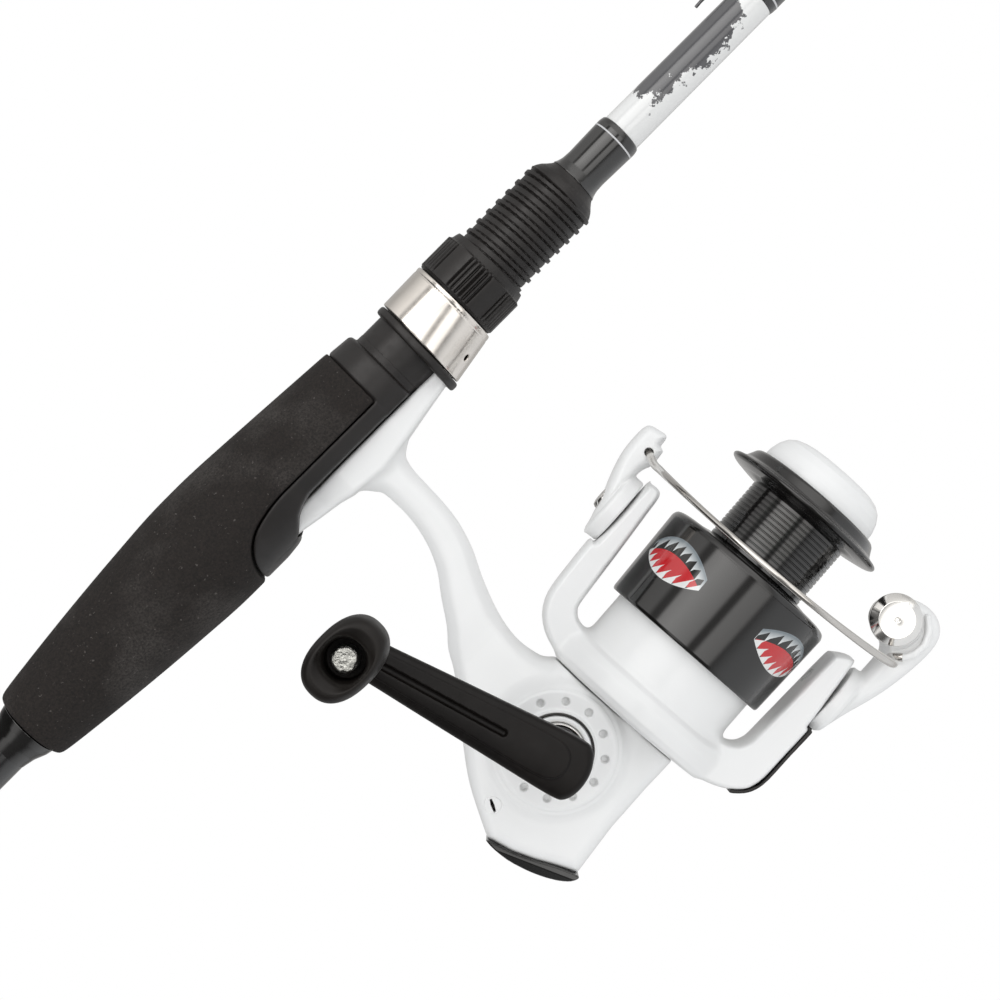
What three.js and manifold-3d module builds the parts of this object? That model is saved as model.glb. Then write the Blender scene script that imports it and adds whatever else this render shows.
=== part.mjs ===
// A light spinning rod in two sections with a size 20 spinning reel clamped in its seat.
// Millimetres. The rod's axis is X: the butt's end face is at x = 0 and the tip is at +X.
// Z is up and the reel hangs below the rod at -Z. The crank is on the -Y side.

import * as THREE from 'three';
import { mergeVertices } from 'three/addons/utils/BufferGeometryUtils.js';
import Module from 'manifold-3d';

const wasm = await Module();
wasm.setup();

// ---- Driving dimensions of the rod ----
const ROD_LENGTH = 1676;
const GAP = 0.3;                    // clearance between neighbouring pieces
const BLANK_R = 5.9;                // blank radius inside the handle
const BLANK_WALL = 1.0;
const BORE_R = BLANK_R + GAP;       // bore of every piece that is slid on to the blank
const BUTT_GRIP_END = 88;
const GRIP_REAR = 194.9;            // rear end of the main foam grip
const GRIP_FRONT = 313;
const SEAT_X = 330;                 // rear edge of the movable hood's sleeve
const SEAT_FLOOR_Z = -9;            // the flat that the reel's foot rests on
const BARREL_R = 10.1;              // crest radius of the seat's thread
const BARREL_END = 383.75;
const HOOD_LENGTH = 13.6;
const FOOT_TIP_HALF = 5.2;          // half width of the reel's foot at its two ends
const NUT_LENGTH = 12.6;
const FERRULE_REAR = 832;           // rear edge of the tip section's socket
const FERRULE_FRONT = 884;          // front end of the butt section's spigot
const SPIGOT_R = 3.35;

// Line guides from the reel to the tip: place, ring radius, ring centre below the axis, blank radius there
const GUIDES = [
  { x: 700, ring: 10.0, drop: 21.0, blank: 4.3 },
  { x: 930, ring: 6.6, drop: 14.5, blank: 3.75 },
  { x: 1130, ring: 4.8, drop: 11.0, blank: 3.05 },
  { x: 1310, ring: 3.9, drop: 9.0, blank: 2.4 },
  { x: 1475, ring: 3.5, drop: 7.8, blank: 1.75 },
];

// ---- Driving dimensions of the reel, in its own tilted frame ----
// Its x axis is the spool's axis, its origin is straight under the crank's axis.
const REEL_ORIGIN = [SEAT_X - 45.0, 0, -104.7];
const REEL_TILT = THREE.MathUtils.degToRad(3.85);
const CRANK_Z = 9.0;                // height of the crank's axis over the spool's axis
const CRANK_TIP = [-11.0, 61.7];    // x and z of the knob's axis
const SHAFT_R = 2.0;
const PINION_R = 3.5;
const PINION_TEETH = 10;
const GEAR_R = 13.6;
const GEAR_TEETH = 52;
const OSC_AXIS = [-9.0, 0.0];
const OSC_R = 7.2;
const OSC_TEETH = 20;
const OSC_PINION_R = 5.2;
const OSC_PINION_TEETH = 14;
const HALF_STROKE = 5.2;             // throw of the pin that drives the spool in and out
const PIVOT_X = 54.0;               // the bail's pivot line crosses the spool's axis here
const ROLLER_AXIS = [78.4, -33.7];
const COVER_SCREWS = [[-19.6, -10.9], [10.6, -10.8], [-8.0, 28.4]];

// ---- Geometry helpers ----

// A closed geometry as a solid: vertices merged, slivers of the lathe's poles dropped, faces turned out
function solid(geometry) {
  const bare = geometry.clone();
  for (const name of Object.keys(bare.attributes)) {
    if (name !== 'position') bare.deleteAttribute(name);
  }
  const merged = mergeVertices(bare, 1e-4);
  const position = merged.attributes.position;
  const corners = [];
  const a = new THREE.Vector3();
  const b = new THREE.Vector3();
  const c = new THREE.Vector3();
  let volume = 0;
  for (let i = 0; i < merged.index.count; i += 3) {
    const [p, q, r] = [0, 1, 2].map((k) => merged.index.getX(i + k));
    if (p === q || q === r || r === p) continue;
    corners.push([p, q, r]);
    a.fromBufferAttribute(position, p);
    b.fromBufferAttribute(position, q);
    c.fromBufferAttribute(position, r);
    volume += a.dot(b.cross(c));
  }
  const outward = volume > 0 ? corners : corners.map(([p, q, r]) => [p, r, q]);
  const triVerts = new Uint32Array(outward.flat());
  const vertProperties = new Float32Array(position.array);
  return new wasm.Manifold(new wasm.Mesh({ numProp: 3, vertProperties, triVerts }));
}

function join(...solids) {
  return solids.reduce((whole, piece) => whole.add(piece));
}

function cut(whole, ...tools) {
  return tools.reduce((rest, tool) => rest.subtract(tool), whole);
}

const ALONG = {
  x: (geometry) => geometry.rotateZ(-Math.PI / 2),
  y: (geometry) => geometry,
  z: (geometry) => geometry.rotateX(Math.PI / 2),
};

// A solid of revolution; the profile lists [place along the axis, radius]
function turned(profile, { along = 'x', segments = 16, at = [0, 0, 0] } = {}) {
  const points = profile.map(([place, radius]) => new THREE.Vector2(radius, place));
  const onAxis = profile[0][1] === 0 && profile[profile.length - 1][1] === 0;
  if (!onAxis) points.push(points[0].clone());
  const geometry = new THREE.LatheGeometry(points, segments);
  return solid(ALONG[along](geometry).translate(...at));
}

function pin(radius, from, to, options) {
  return turned([[from, 0], [from, radius], [to, radius], [to, 0]], options);
}

function sleeve(inner, outer, from, to, options) {
  return turned([[from, inner], [from, outer], [to, outer], [to, inner]], options);
}

function box([x0, x1], [y0, y1], [z0, z1]) {
  const geometry = new THREE.BoxGeometry(x1 - x0, y1 - y0, z1 - z0);
  return solid(geometry.translate((x0 + x1) / 2, (y0 + y1) / 2, (z0 + z1) / 2));
}

// An outline of [x, z] points, given a thickness from y0 to y1, with its edges chamfered
function plate(outline, [y0, y1], chamfer = 0) {
  const shape = new THREE.Shape(outline.map(([x, z]) => new THREE.Vector2(x, z)));
  const geometry = new THREE.ExtrudeGeometry(shape, {
    depth: y1 - y0 - 2 * chamfer,
    bevelEnabled: chamfer > 0,
    bevelThickness: chamfer,
    bevelSize: chamfer,
    bevelOffset: -chamfer,
    bevelSegments: 1,
  });
  return solid(geometry.rotateX(Math.PI / 2).translate(0, y1 - chamfer, 0));
}

// A skin through rings of points, closed by a fan at each end
function loft(rings) {
  const count = rings[0].length;
  const points = rings.flat();
  const faces = [];
  for (let i = 0; i + 1 < rings.length; i += 1) {
    for (let j = 0; j < count; j += 1) {
      const k = (j + 1) % count;
      const [a, b, c, d] = [i * count + j, i * count + k, (i + 1) * count + k, (i + 1) * count + j];
      faces.push(a, b, c, a, c, d);
    }
  }
  const last = (rings.length - 1) * count;
  for (let j = 1; j + 1 < count; j += 1) {
    faces.push(0, j + 1, j);
    faces.push(last, last + j, last + j + 1);
  }
  const geometry = new THREE.BufferGeometry();
  geometry.setAttribute('position', new THREE.Float32BufferAttribute(points.flat(), 3));
  geometry.setIndex(faces);
  return solid(geometry);
}

// An ellipse of points in the plane through a centre, across the direction [dx, dz]
function ellipseRing([x, z], [dx, dz], halfDepth, halfWidth, count = 12) {
  const length = Math.hypot(dx, dz);
  return Array.from({ length: count }, (_, i) => {
    const angle = (2 * Math.PI * i) / count;
    const side = halfDepth * Math.cos(angle);
    return [x - (dz / length) * side, halfWidth * Math.sin(angle), z + (dx / length) * side];
  });
}

// A round wire through points, with flat ends
function wire(points, radius, { steps = 24, sides = 8 } = {}) {
  const curve = new THREE.CatmullRomCurve3(points.map((p) => new THREE.Vector3(...p)));
  const shape = new THREE.Shape();
  for (let i = 0; i < sides; i += 1) {
    const angle = (2 * Math.PI * i) / sides;
    const corner = [radius * Math.cos(angle), radius * Math.sin(angle)];
    if (i === 0) shape.moveTo(...corner);
    else shape.lineTo(...corner);
  }
  return solid(new THREE.ExtrudeGeometry(shape, { steps, extrudePath: curve, bevelEnabled: false }));
}

// A spur gear's outline with straight-sided teeth, as [u, v] points
function toothedOutline(teeth, tipRadius, rootRadius) {
  const outline = [];
  for (let i = 0; i < teeth; i += 1) {
    const centre = (2 * Math.PI * i) / teeth;
    const half = Math.PI / teeth;
    const corners = [[-0.62, rootRadius], [-0.3, tipRadius], [0.3, tipRadius], [0.62, rootRadius]];
    for (const [share, radius] of corners) {
      const angle = centre + share * half;
      outline.push([radius * Math.cos(angle), radius * Math.sin(angle)]);
    }
  }
  return outline;
}

function finish(colour, roughness, metalness = 0) {
  return new THREE.MeshStandardMaterial({ color: colour, roughness, metalness });
}

const MATERIALS = {
  foam: finish(0x1b1817, 0.9),
  blackRubber: finish(0x161616, 0.8),
  blank: finish(0x0b0b0c, 0.15),
  seat: finish(0x18181a, 0.5),
  stainless: finish(0xcfc9c0, 0.2, 1),
  blackNylon: finish(0x1c1c1d, 0.45),
  whiteGloss: finish(0xe9e9e6, 0.3),
  blackGloss: finish(0x0a0a0b, 0.12),
  ceramic: finish(0x3a3b3e, 0.2),
  guideSteel: finish(0x5a5c60, 0.3, 1),
  steel: finish(0xb9bbbd, 0.3, 1),
  brass: finish(0xb89a55, 0.35, 1),
  zinc: finish(0x9a9da0, 0.4, 1),
  felt: finish(0x5d5a52, 0.95),
  crankBlack: finish(0x242224, 0.4, 0.3),
};

const rod = new THREE.Group();
const reel = new THREE.Group();
reel.position.set(...REEL_ORIGIN);
reel.rotation.y = -REEL_TILT;

function add(group, name, manifold, material) {
  const { vertProperties, triVerts } = manifold.getMesh();
  const geometry = new THREE.BufferGeometry();
  geometry.setAttribute('position', new THREE.Float32BufferAttribute(vertProperties, 3));
  geometry.setIndex([...triVerts]);
  geometry.computeVertexNormals();
  const mesh = new THREE.Mesh(geometry, material);
  mesh.name = name;
  group.add(mesh);
}

// ---- The rod's handle ----

function buildHandle() {
  const cap = turned([[0, 0], [0, 13.4], [1.2, 14.6], [9.6, 15.2], [10, 15], [10, 4.6], [19, 4.6], [19, 0]]);
  add(rod, 'butt_cap', cap, MATERIALS.blackRubber);

  const buttGrip = turned([
    [10.3, BORE_R], [10.3, 15.0], [11.3, 15.3], [26, 15.1], [50, 13.2], [74, 10.9], [86, 9.9],
    [BUTT_GRIP_END, 8.6], [BUTT_GRIP_END, BORE_R],
  ]);
  add(rod, 'butt_grip', buttGrip, MATERIALS.foam);

  const check = turned([[188.5, BORE_R], [188.5, 6.7], [192.6, 8.0], [194.6, 8.2], [194.6, BORE_R]]);
  add(rod, 'grip_check', check, MATERIALS.blackGloss);

  const blankInner = BLANK_R - BLANK_WALL;
  const blank = turned([
    [10.3, blankInner], [10.3, BLANK_R], [SEAT_X, BLANK_R], [390, 5.5], [455, 5.3], [700, 4.3],
    [FERRULE_REAR, 3.75], [FERRULE_REAR, SPIGOT_R], [FERRULE_FRONT, SPIGOT_R - 0.1],
    [FERRULE_FRONT, SPIGOT_R - BLANK_WALL], [455, 4.2], [SEAT_X, blankInner],
  ], { segments: 20 });
  add(rod, 'lower_blank', blank, MATERIALS.blank);
}

// The foam grip swells to the middle of the palm. In front of the palm its lower half is cut away,
// and there the seat's own plastic shows under a shell of foam.
const FOAM_CUT_FRONT_Z = -4.4;
const FOAM_CUT = [
  [261.7, -18], [261.9, -15.5], [262.6, -13.6], [264, -11], [266.6, -8.2], [270, -6.2], [274, -5],
  [278.5, FOAM_CUT_FRONT_Z], [GRIP_FRONT + 2, FOAM_CUT_FRONT_Z], [GRIP_FRONT + 2, -18],
];

function buildGrip() {
  const whole = turned([
    [GRIP_REAR, BORE_R], [GRIP_REAR, 8.6], [196, 10.7], [205, 11.7], [217.5, 13.1], [230, 14.3],
    [242.5, 15.4], [255, 16.1], [262, 16.1], [270, 15.9], [290, 14.6], [GRIP_FRONT - 0.6, 13.2],
    [GRIP_FRONT, 12.6], [GRIP_FRONT, BORE_R],
  ], { segments: 20 });
  const seatTube = pin(7.8 + GAP, 258, GRIP_FRONT + 1, { segments: 24 });
  add(rod, 'foam_grip', cut(whole, plate(FOAM_CUT, [-20, 20]), seatTube), MATERIALS.foam);
}

// The seat is one moulding: a tube under the foam, the fixed hood, the flat for the foot,
// two steps in front of the foam, and the threaded barrel.
function buildSeat() {
  const tube = pin(7.8, 258.4, GRIP_FRONT + 4, { segments: 24 });
  const underFoam = FOAM_CUT.slice(1, -2).map(([x, z]) => [x + GAP, z - GAP]);
  const hoodOutline = [
    ...underFoam, [GRIP_FRONT + 2, FOAM_CUT_FRONT_Z - GAP], [GRIP_FRONT + 2, SEAT_FLOOR_Z], [285.5, SEAT_FLOOR_Z], [282.5, -10],
    [280, -11], [277.5, -13.1], [275, -15.2], [274.4, -15.8],
  ];
  const hoodRound = pin(15.7, 261, GRIP_FRONT + 3, { segments: 24 });
  const hood = plate(hoodOutline, [-16, 16]).intersect(hoodRound);
  const nose = turned([
    [GRIP_FRONT + GAP, 0], [GRIP_FRONT + GAP, 12.2], [320, 10.9], [320.7, BARREL_R],
    [BARREL_END, BARREL_R], [387, 6.6], [387, 0],
  ], { segments: 24 });
  const footFlat = box([255, 345.5], [-20, 20], [-20, SEAT_FLOOR_Z]);
  const frontPart = cut(nose, footFlat);
  const footPocket = box([267.3, 290], [-FOOT_TIP_HALF - GAP, FOOT_TIP_HALF + GAP], [-14.2, SEAT_FLOOR_Z]);
  const bore = pin(BORE_R, 250, 392);
  const seat = cut(join(tube, hood, frontPart), footPocket, bore);
  add(rod, 'reel_seat', seat, MATERIALS.seat);
}

// A ring that is round on top and has a bulge below, which holds the front end of the reel's foot
function hoodRing(from, to, top, bottomFrom, bottomTo) {
  const ringAt = (x, bottom) => Array.from({ length: 24 }, (_, i) => {
    const angle = (2 * Math.PI * i) / 24;
    const down = Math.max(0, -Math.sin(angle));
    const radius = top + (bottom - top) * down ** 1.2;
    return [x, radius * Math.cos(angle), radius * Math.sin(angle)];
  });
  return loft([ringAt(from, bottomFrom), ringAt(to, bottomTo)]);
}

function buildHoodAndNut() {
  const footRoom = plate([
    [325, 0], [325, -13.4], [331, -13.3], [342.5, -11.2], [342.5, 0],
  ], [-FOOT_TIP_HALF - GAP, FOOT_TIP_HALF + GAP]);
  const barrelRoom = pin(BARREL_R + GAP, 320, 390, { segments: 24 });
  const collar = cut(hoodRing(328.3, 330.7, 11.7, 15.1, 15.0), footRoom, barrelRoom);
  add(rod, 'hood_collar', collar, MATERIALS.blackNylon);

  const hoodEnd = SEAT_X + 1 + HOOD_LENGTH;
  const hood = cut(hoodRing(SEAT_X + 1, hoodEnd, 11.9, 15.0, 12.8), footRoom, barrelRoom);
  add(rod, 'movable_hood', hood, MATERIALS.stainless);

  const nutStart = hoodEnd + GAP;
  const nutEnd = nutStart + NUT_LENGTH;
  const ribs = toothedOutline(12, 12.1, 11.7).map(([u, v]) => new THREE.Vector2(u, v));
  const knurl = new THREE.ExtrudeGeometry(new THREE.Shape(ribs), {
    depth: NUT_LENGTH - 1.6,
    bevelEnabled: false,
  });
  const body = solid(knurl.rotateY(Math.PI / 2).translate(nutStart, 0, 0));
  const neck = turned([[nutEnd - 2, 0], [nutEnd - 2, 11.6], [nutEnd, 10.9], [nutEnd, 0]], { segments: 24 });
  add(rod, 'lock_nut', cut(join(body, neck), barrelRoom), MATERIALS.blackNylon);
}

// A wire hook ahead of the seat, on the side away from the reel. Its foot lies along the blank.
function buildKeeper() {
  const hook = wire([[463, 0, 5.95], [456, 0, 6.0], [451, 0, 6.7], [446, 0, 8.7], [439.2, 0, 9.1]], 0.42, {
    steps: 12,
    sides: 6,
  });
  add(rod, 'hook_keeper', hook, MATERIALS.guideSteel);
}

// ---- The tip section and the line guides ----

function buildTipSection() {
  const blank = turned([
    [FERRULE_REAR + GAP, SPIGOT_R + GAP], [FERRULE_REAR + GAP, 4.35], [FERRULE_FRONT + 6, 4.0],
    [1130, 3.05], [1310, 2.4], [1475, 1.75], [1660, 1.05], [1660, 0], [1330, 0],
    [1310, 1.2], [FERRULE_FRONT + 2, 2.9], [FERRULE_FRONT + 1, SPIGOT_R + GAP],
  ], { segments: 20 });
  add(rod, 'upper_blank', blank, MATERIALS.blank);
}

function guideRing(x, z, radius, wall) {
  const half = 1.0 + radius * 0.06;
  return turned([
    [x - half, radius - wall], [x - half * 0.6, radius], [x + half * 0.6, radius],
    [x + half, radius - wall], [x, radius - wall * 1.7],
  ], { at: [0, 0, z] });
}

// A frame is a hoop round the ceramic ring, with a strut up to a foot that lies along the blank
function buildGuide({ x, ring, drop, blank }, index) {
  const wall = 0.9 + ring * 0.05;
  const thickness = 0.7 + ring * 0.04;
  add(rod, `guide_ring_${index + 1}`, guideRing(x, -drop, ring, wall), MATERIALS.ceramic);

  const hoopInner = ring + GAP;
  const hoop = sleeve(hoopInner, hoopInner + thickness, x - 0.6, x + 0.6, { at: [0, 0, -drop] });
  const footTop = -blank - GAP;
  const footLength = 8 + ring * 1.1;
  const foot = box([x + 3, x + 3 + footLength], [-1.1, 1.1], [footTop - 0.7, footTop]);
  const hoopTop = -drop + hoopInner + thickness / 2;
  const strut = plate([
    [x - 0.6, hoopTop], [x + 0.6, hoopTop], [x + 5, footTop - 0.6], [x + 5, footTop - 0.05], [x + 2.5, footTop - 0.05],
  ], [-0.9, 0.9]);
  add(rod, `guide_frame_${index + 1}`, join(hoop, foot, strut), MATERIALS.guideSteel);
}

function buildTipTop() {
  const x = ROD_LENGTH - 1.2;
  const ring = 2.6;
  const drop = 4.9;
  const hoop = sleeve(ring + GAP, ring + GAP + 0.7, x - 0.6, x + 0.6, { at: [0, 0, -drop] });
  const socket = cut(pin(1.85, 1645, x - 1), pin(1.05 + GAP, 1640, 1660.6));
  const strut = plate([
    [x - 6, -0.4], [x + 0.6, -drop + ring + 0.6], [x + 0.6, -drop + ring + 1.4], [x - 1.2, 0.6], [x - 6, 0.8],
  ], [-0.8, 0.8]);
  add(rod, 'tip_top', join(hoop, socket, strut), MATERIALS.guideSteel);
  add(rod, 'tip_ring', guideRing(x, -drop, ring, 0.7), MATERIALS.ceramic);
}

// ---- The reel's housing ----

const HOUSING = [
  [15.7, 21.9], [15.6, -15.4], [6.5, -15.0], [-6, -15.0], [-16, -15.6], [-20.4, -15.9],
  [-22.8, -10.2], [-25.2, -5.2], [-27.3, 0.4], [-28.4, 6.6], [-25.6, 11.9], [-21.4, 18.7],
  [-15.6, 25.8], [-9.8, 32.2], [-4.2, 38.3], [10, 36.5], [12.2, 33], [12.2, 29.5], [13.3, 26.2],
];
const HOUSING_ROOM = [
  [12.9, 20], [12.9, -12.6], [-18.6, -13.0], [-20.6, -8.6], [-24.6, 0.8], [-25.4, 6.2], [-23.2, 10.9],
  [-19.3, 17.2], [-13.8, 24], [-8.6, 29.8], [-5.0, 31.5], [4, 30.5], [9.6, 26.5],
];
const NEAR_WALL_Y = -10.5;
const COVER_FACE_Y = 12.8;

// The stem's centre line from the foot to the housing, with its half depth and half thickness
const STEM = [
  { at: [303.6, -15.5], depth: 8.6, width: 5.6 },
  { at: [303.3, -19.5], depth: 5.6, width: 4.6 },
  { at: [302.9, -25], depth: 4.8, width: 4.1 },
  { at: [302.4, -33], depth: 4.9, width: 4.1 },
  { at: [300.6, -41], depth: 5.1, width: 4.3 },
  { at: [297.6, -48.5], depth: 5.4, width: 4.8 },
  { at: [293.3, -56], depth: 6.0, width: 5.8 },
  { at: [288.8, -63.5], depth: 7.2, width: 7.4 },
  { at: [285, -71], depth: 9.6, width: 9.4 },
  { at: [283.2, -79], depth: 12.6, width: 11.4 },
];

function buildStemAndFoot() {
  const rings = STEM.map(({ at, depth, width }, i) => {
    const before = STEM[Math.max(0, i - 1)].at;
    const after = STEM[Math.min(STEM.length - 1, i + 1)].at;
    const direction = [after[0] - before[0], after[1] - before[1]];
    return ellipseRing(at, direction, depth, width);
  });
  const footSide = plate([
    [268.5, -9.3], [340.5, -9.3], [341.4, -9.9], [341, -10.7], [328, -13.0], [320, -14.4], [312, -16.6],
    [303, -17.6], [292.5, -16.5], [288.7, -15.5], [282.5, -14.6], [277.5, -13.6], [268.5, -12.6], [267.8, -11],
  ], [-8, 8]);
  const half = FOOT_TIP_HALF;
  const footPlan = new THREE.Shape([
    [267, half - 1], [269, half], [286, half], [294, 7.4], [312, 7.4], [327, half], [340, half], [342, half - 1],
    [342, 1 - half], [340, -half], [327, -half], [312, -7.4], [294, -7.4], [286, -half], [269, -half], [267, 1 - half],
  ].map(([x, y]) => new THREE.Vector2(x, y)));
  const planSolid = solid(new THREE.ExtrudeGeometry(footPlan, { depth: 14, bevelEnabled: false }).translate(0, 0, -20));
  return join(loft(rings), footSide.intersect(planSolid));
}

// The reel's frame in the rod's frame, and back
const reelMatrix = new THREE.Matrix4().compose(
  new THREE.Vector3(...REEL_ORIGIN),
  new THREE.Quaternion().setFromAxisAngle(new THREE.Vector3(0, 1, 0), -REEL_TILT),
  new THREE.Vector3(1, 1, 1),
);

function toReelFrame(manifold) {
  return manifold.transform([...reelMatrix.clone().invert().elements]);
}

function buildHousing() {
  const aroundCrank = { along: 'y', at: [0, 0, CRANK_Z] };
  const shell = plate(HOUSING, [-13.4, COVER_FACE_Y - GAP], 1.6);
  const boss = turned([[-17.6, 0], [-17.6, 14.4], [-16.9, 15.2], [-12, 15.2], [-12, 0]], aroundCrank);
  const rim = pin(9.6, -19.2, -17, aroundCrank);
  const neck = pin(12.6, 15, 27.4);
  const oscStub = pin(1.9, NEAR_WALL_Y - 1, -7, { along: 'y', at: [OSC_AXIS[0], 0, OSC_AXIS[1]] });
  const room = plate(HOUSING_ROOM, [NEAR_WALL_Y, COVER_FACE_Y + 3]);
  const posts = COVER_SCREWS.map(([x, z]) => pin(2.5, NEAR_WALL_Y - 0.5, COVER_FACE_Y - GAP, {
    along: 'y',
    at: [x, 0, z],
    segments: 10,
  }));
  const postHoles = COVER_SCREWS.map(([x, z]) => pin(1.4, 3, COVER_FACE_Y + 1, {
    along: 'y',
    at: [x, 0, z],
    segments: 10,
  }));
  const bearingSeat = pin(7.9, -18.2, NEAR_WALL_Y + 1, aroundCrank);
  const shaftHole = pin(4.7, -20, NEAR_WALL_Y, aroundCrank);
  const pinionHole = pin(4.4, 10, 30);
  const clutchSeat = pin(9.0, 17.4, 28);
  const leverSlot = box([-21.1, -18.9], [-15, NEAR_WALL_Y + 2], [10.2, 13.8]);
  const gearRoom = pin(GEAR_R + 0.4, 3.4, COVER_FACE_Y + 2, aroundCrank);
  const spaces = [room, gearRoom, bearingSeat, shaftHole, pinionHole, clutchSeat, leverSlot];
  const hollow = cut(join(shell, boss, rim, neck), ...spaces);
  const outer = join(shell, boss, rim);
  const stem = cut(toReelFrame(buildStemAndFoot()), room);
  const inner = join(oscStub, ...posts).intersect(outer);
  const body = cut(join(hollow, stem, inner), ...postHoles, box([-40, 40], [COVER_FACE_Y - GAP, 30], [-20, 40]));
  add(reel, 'reel_body', body, MATERIALS.whiteGloss);

  const lid = plate(HOUSING, [COVER_FACE_Y, COVER_FACE_Y + 2.8], 1.0);
  const lidBoss = turned([[14, 0], [14, 14.8], [18.4, 14.0], [19.4, 12.6], [19.4, 0]], aroundCrank);
  const farSeat = pin(7.9, COVER_FACE_Y - 1, 18.4, aroundCrank);
  const farHole = pin(4.7, 10, 21, aroundCrank);
  const screwHoles = COVER_SCREWS.map(([x, z]) => pin(1.4, 10, 20, { along: 'y', at: [x, 0, z], segments: 10 }));
  add(reel, 'side_cover', cut(join(lid, lidBoss), farSeat, farHole, ...screwHoles), MATERIALS.whiteGloss);

  COVER_SCREWS.forEach(([x, z], i) => {
    const place = { along: 'y', at: [x, 0, z], segments: 10 };
    const faceY = COVER_FACE_Y + 2.8 + GAP;
    const screw = turned([[4, 0], [4, 1.1], [faceY, 1.1], [faceY, 2.1], [faceY + 1.2, 1.7], [faceY + 1.2, 0]], place);
    add(reel, `cover_screw_${i + 1}`, screw, MATERIALS.steel);
  });

  const capOutline = [
    [-20.7, -16.0], [-23.1, -10.3], [-25.5, -5.3], [-27.6, 0.3], [-28.8, 6.4], [-30.0, 3.6], [-30.5, 0.4],
    [-29.9, -3.6], [-28.8, -7.4], [-27.0, -11.0], [-25.2, -13.6], [-23.4, -15.2],
  ];
  add(reel, 'rear_cap', plate(capOutline, [-13.2, COVER_FACE_Y + 2.4], 0.4), MATERIALS.blackGloss);

  const lever = join(
    box([-20.8, -19.2], [-14.3, NEAR_WALL_Y + 1.2], [10.6, 12.0]),
    box([-20.9, -18.3], [NEAR_WALL_Y + GAP, NEAR_WALL_Y + 1.4], [9.4, 12.6]),
  );
  add(reel, 'anti_reverse_lever', lever, MATERIALS.blackNylon);
}

// ---- Crank, drive gear and oscillation ----

// A toothed rim: every second row of a ring's face stands back to the root of the teeth
function faceTeeth(inner, outer, [crestY, rootY, backY]) {
  const profile = [[inner, crestY], [outer, crestY], [outer, backY], [inner, backY], [inner, crestY]];
  const points = profile.map(([radius, y]) => new THREE.Vector2(radius, y));
  const geometry = new THREE.LatheGeometry(points, 2 * GEAR_TEETH);
  const position = geometry.getAttribute('position');
  for (let i = 0; i < position.count; i += 1) {
    const row = Math.floor(i / points.length);
    const onFace = position.getY(i) < rootY;
    if (onFace && row % 2 === 1) position.setY(i, rootY);
  }
  return solid(geometry.translate(0, 0, CRANK_Z));
}

function buildDrive() {
  const aroundCrank = { along: 'y', at: [0, 0, CRANK_Z] };
  const shaft = sleeve(3.1, 4.2, -18.0, 18.2, aroundCrank);
  const disc = sleeve(4.0, 10.6, 5.6, 8.2, aroundCrank);
  const teeth = faceTeeth(10.2, GEAR_R, [3.95, 5.6, 8.2]);
  const smallTeeth = toothedOutline(OSC_PINION_TEETH, OSC_PINION_R, 4.4).map(([u, v]) => [u, v + CRANK_Z]);
  const smallGear = plate(smallTeeth, [-9.9, -7.6]);
  const core = pin(3.1, -12, 12, aroundCrank);
  const gear = join(shaft, disc, cut(smallGear, core), teeth);
  add(reel, 'drive_gear', gear, MATERIALS.zinc);

  add(reel, 'gear_bearing_near', sleeve(4.5, 7.6, -17.9, -14.2, aroundCrank), MATERIALS.steel);
  add(reel, 'gear_bearing_far', sleeve(4.5, 7.6, 14.4, 18.1, aroundCrank), MATERIALS.steel);

  const collar = turned([
    [-22.0, 3.4], [-22.0, 7.6], [-20.6, 8.9], [-19.5, 8.9], [-19.5, 4.6], [-20.3, 3.4],
  ], aroundCrank);
  add(reel, 'handle_collar', collar, MATERIALS.steel);

  const handleShaft = turned([
    [-39.4, 0], [-39.4, 2.8], [-26, 2.8], [-26, 5.2], [-22.3, 5.2], [-22.3, 2.8], [19.6, 2.8], [19.6, 0],
  ], aroundCrank);
  add(reel, 'handle_shaft', handleShaft, MATERIALS.steel);

  const cap = turned([[19.9, 0], [19.9, 7.4], [21.2, 8.2], [23.4, 7.8], [24.6, 6.2], [24.6, 0]], aroundCrank);
  add(reel, 'handle_cap', cap, MATERIALS.blackNylon);

  buildCrankArm();
  buildOscillation();
}

// The arm steps outwards once, so that the knob clears the stem and the rod
const ARM_HUB_Y = [-45.5, -39.7];
const ARM_TIP_Y = [-50.5, -46.3];

function armRing(along, width, [y0, y1]) {
  const [dx, dz] = [CRANK_TIP[0], CRANK_TIP[1] - CRANK_Z];
  const length = Math.hypot(dx, dz);
  const [ux, uz] = [dx / length, dz / length];
  const chamfer = 1.2;
  const section = [
    [-width, y0 + chamfer], [-width, y1 - chamfer], [chamfer - width, y1], [width - chamfer, y1],
    [width, y1 - chamfer], [width, y0 + chamfer], [width - chamfer, y0], [chamfer - width, y0],
  ];
  return section.map(([side, y]) => [ux * along + uz * side, y, CRANK_Z + uz * along - ux * side]);
}

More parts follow.
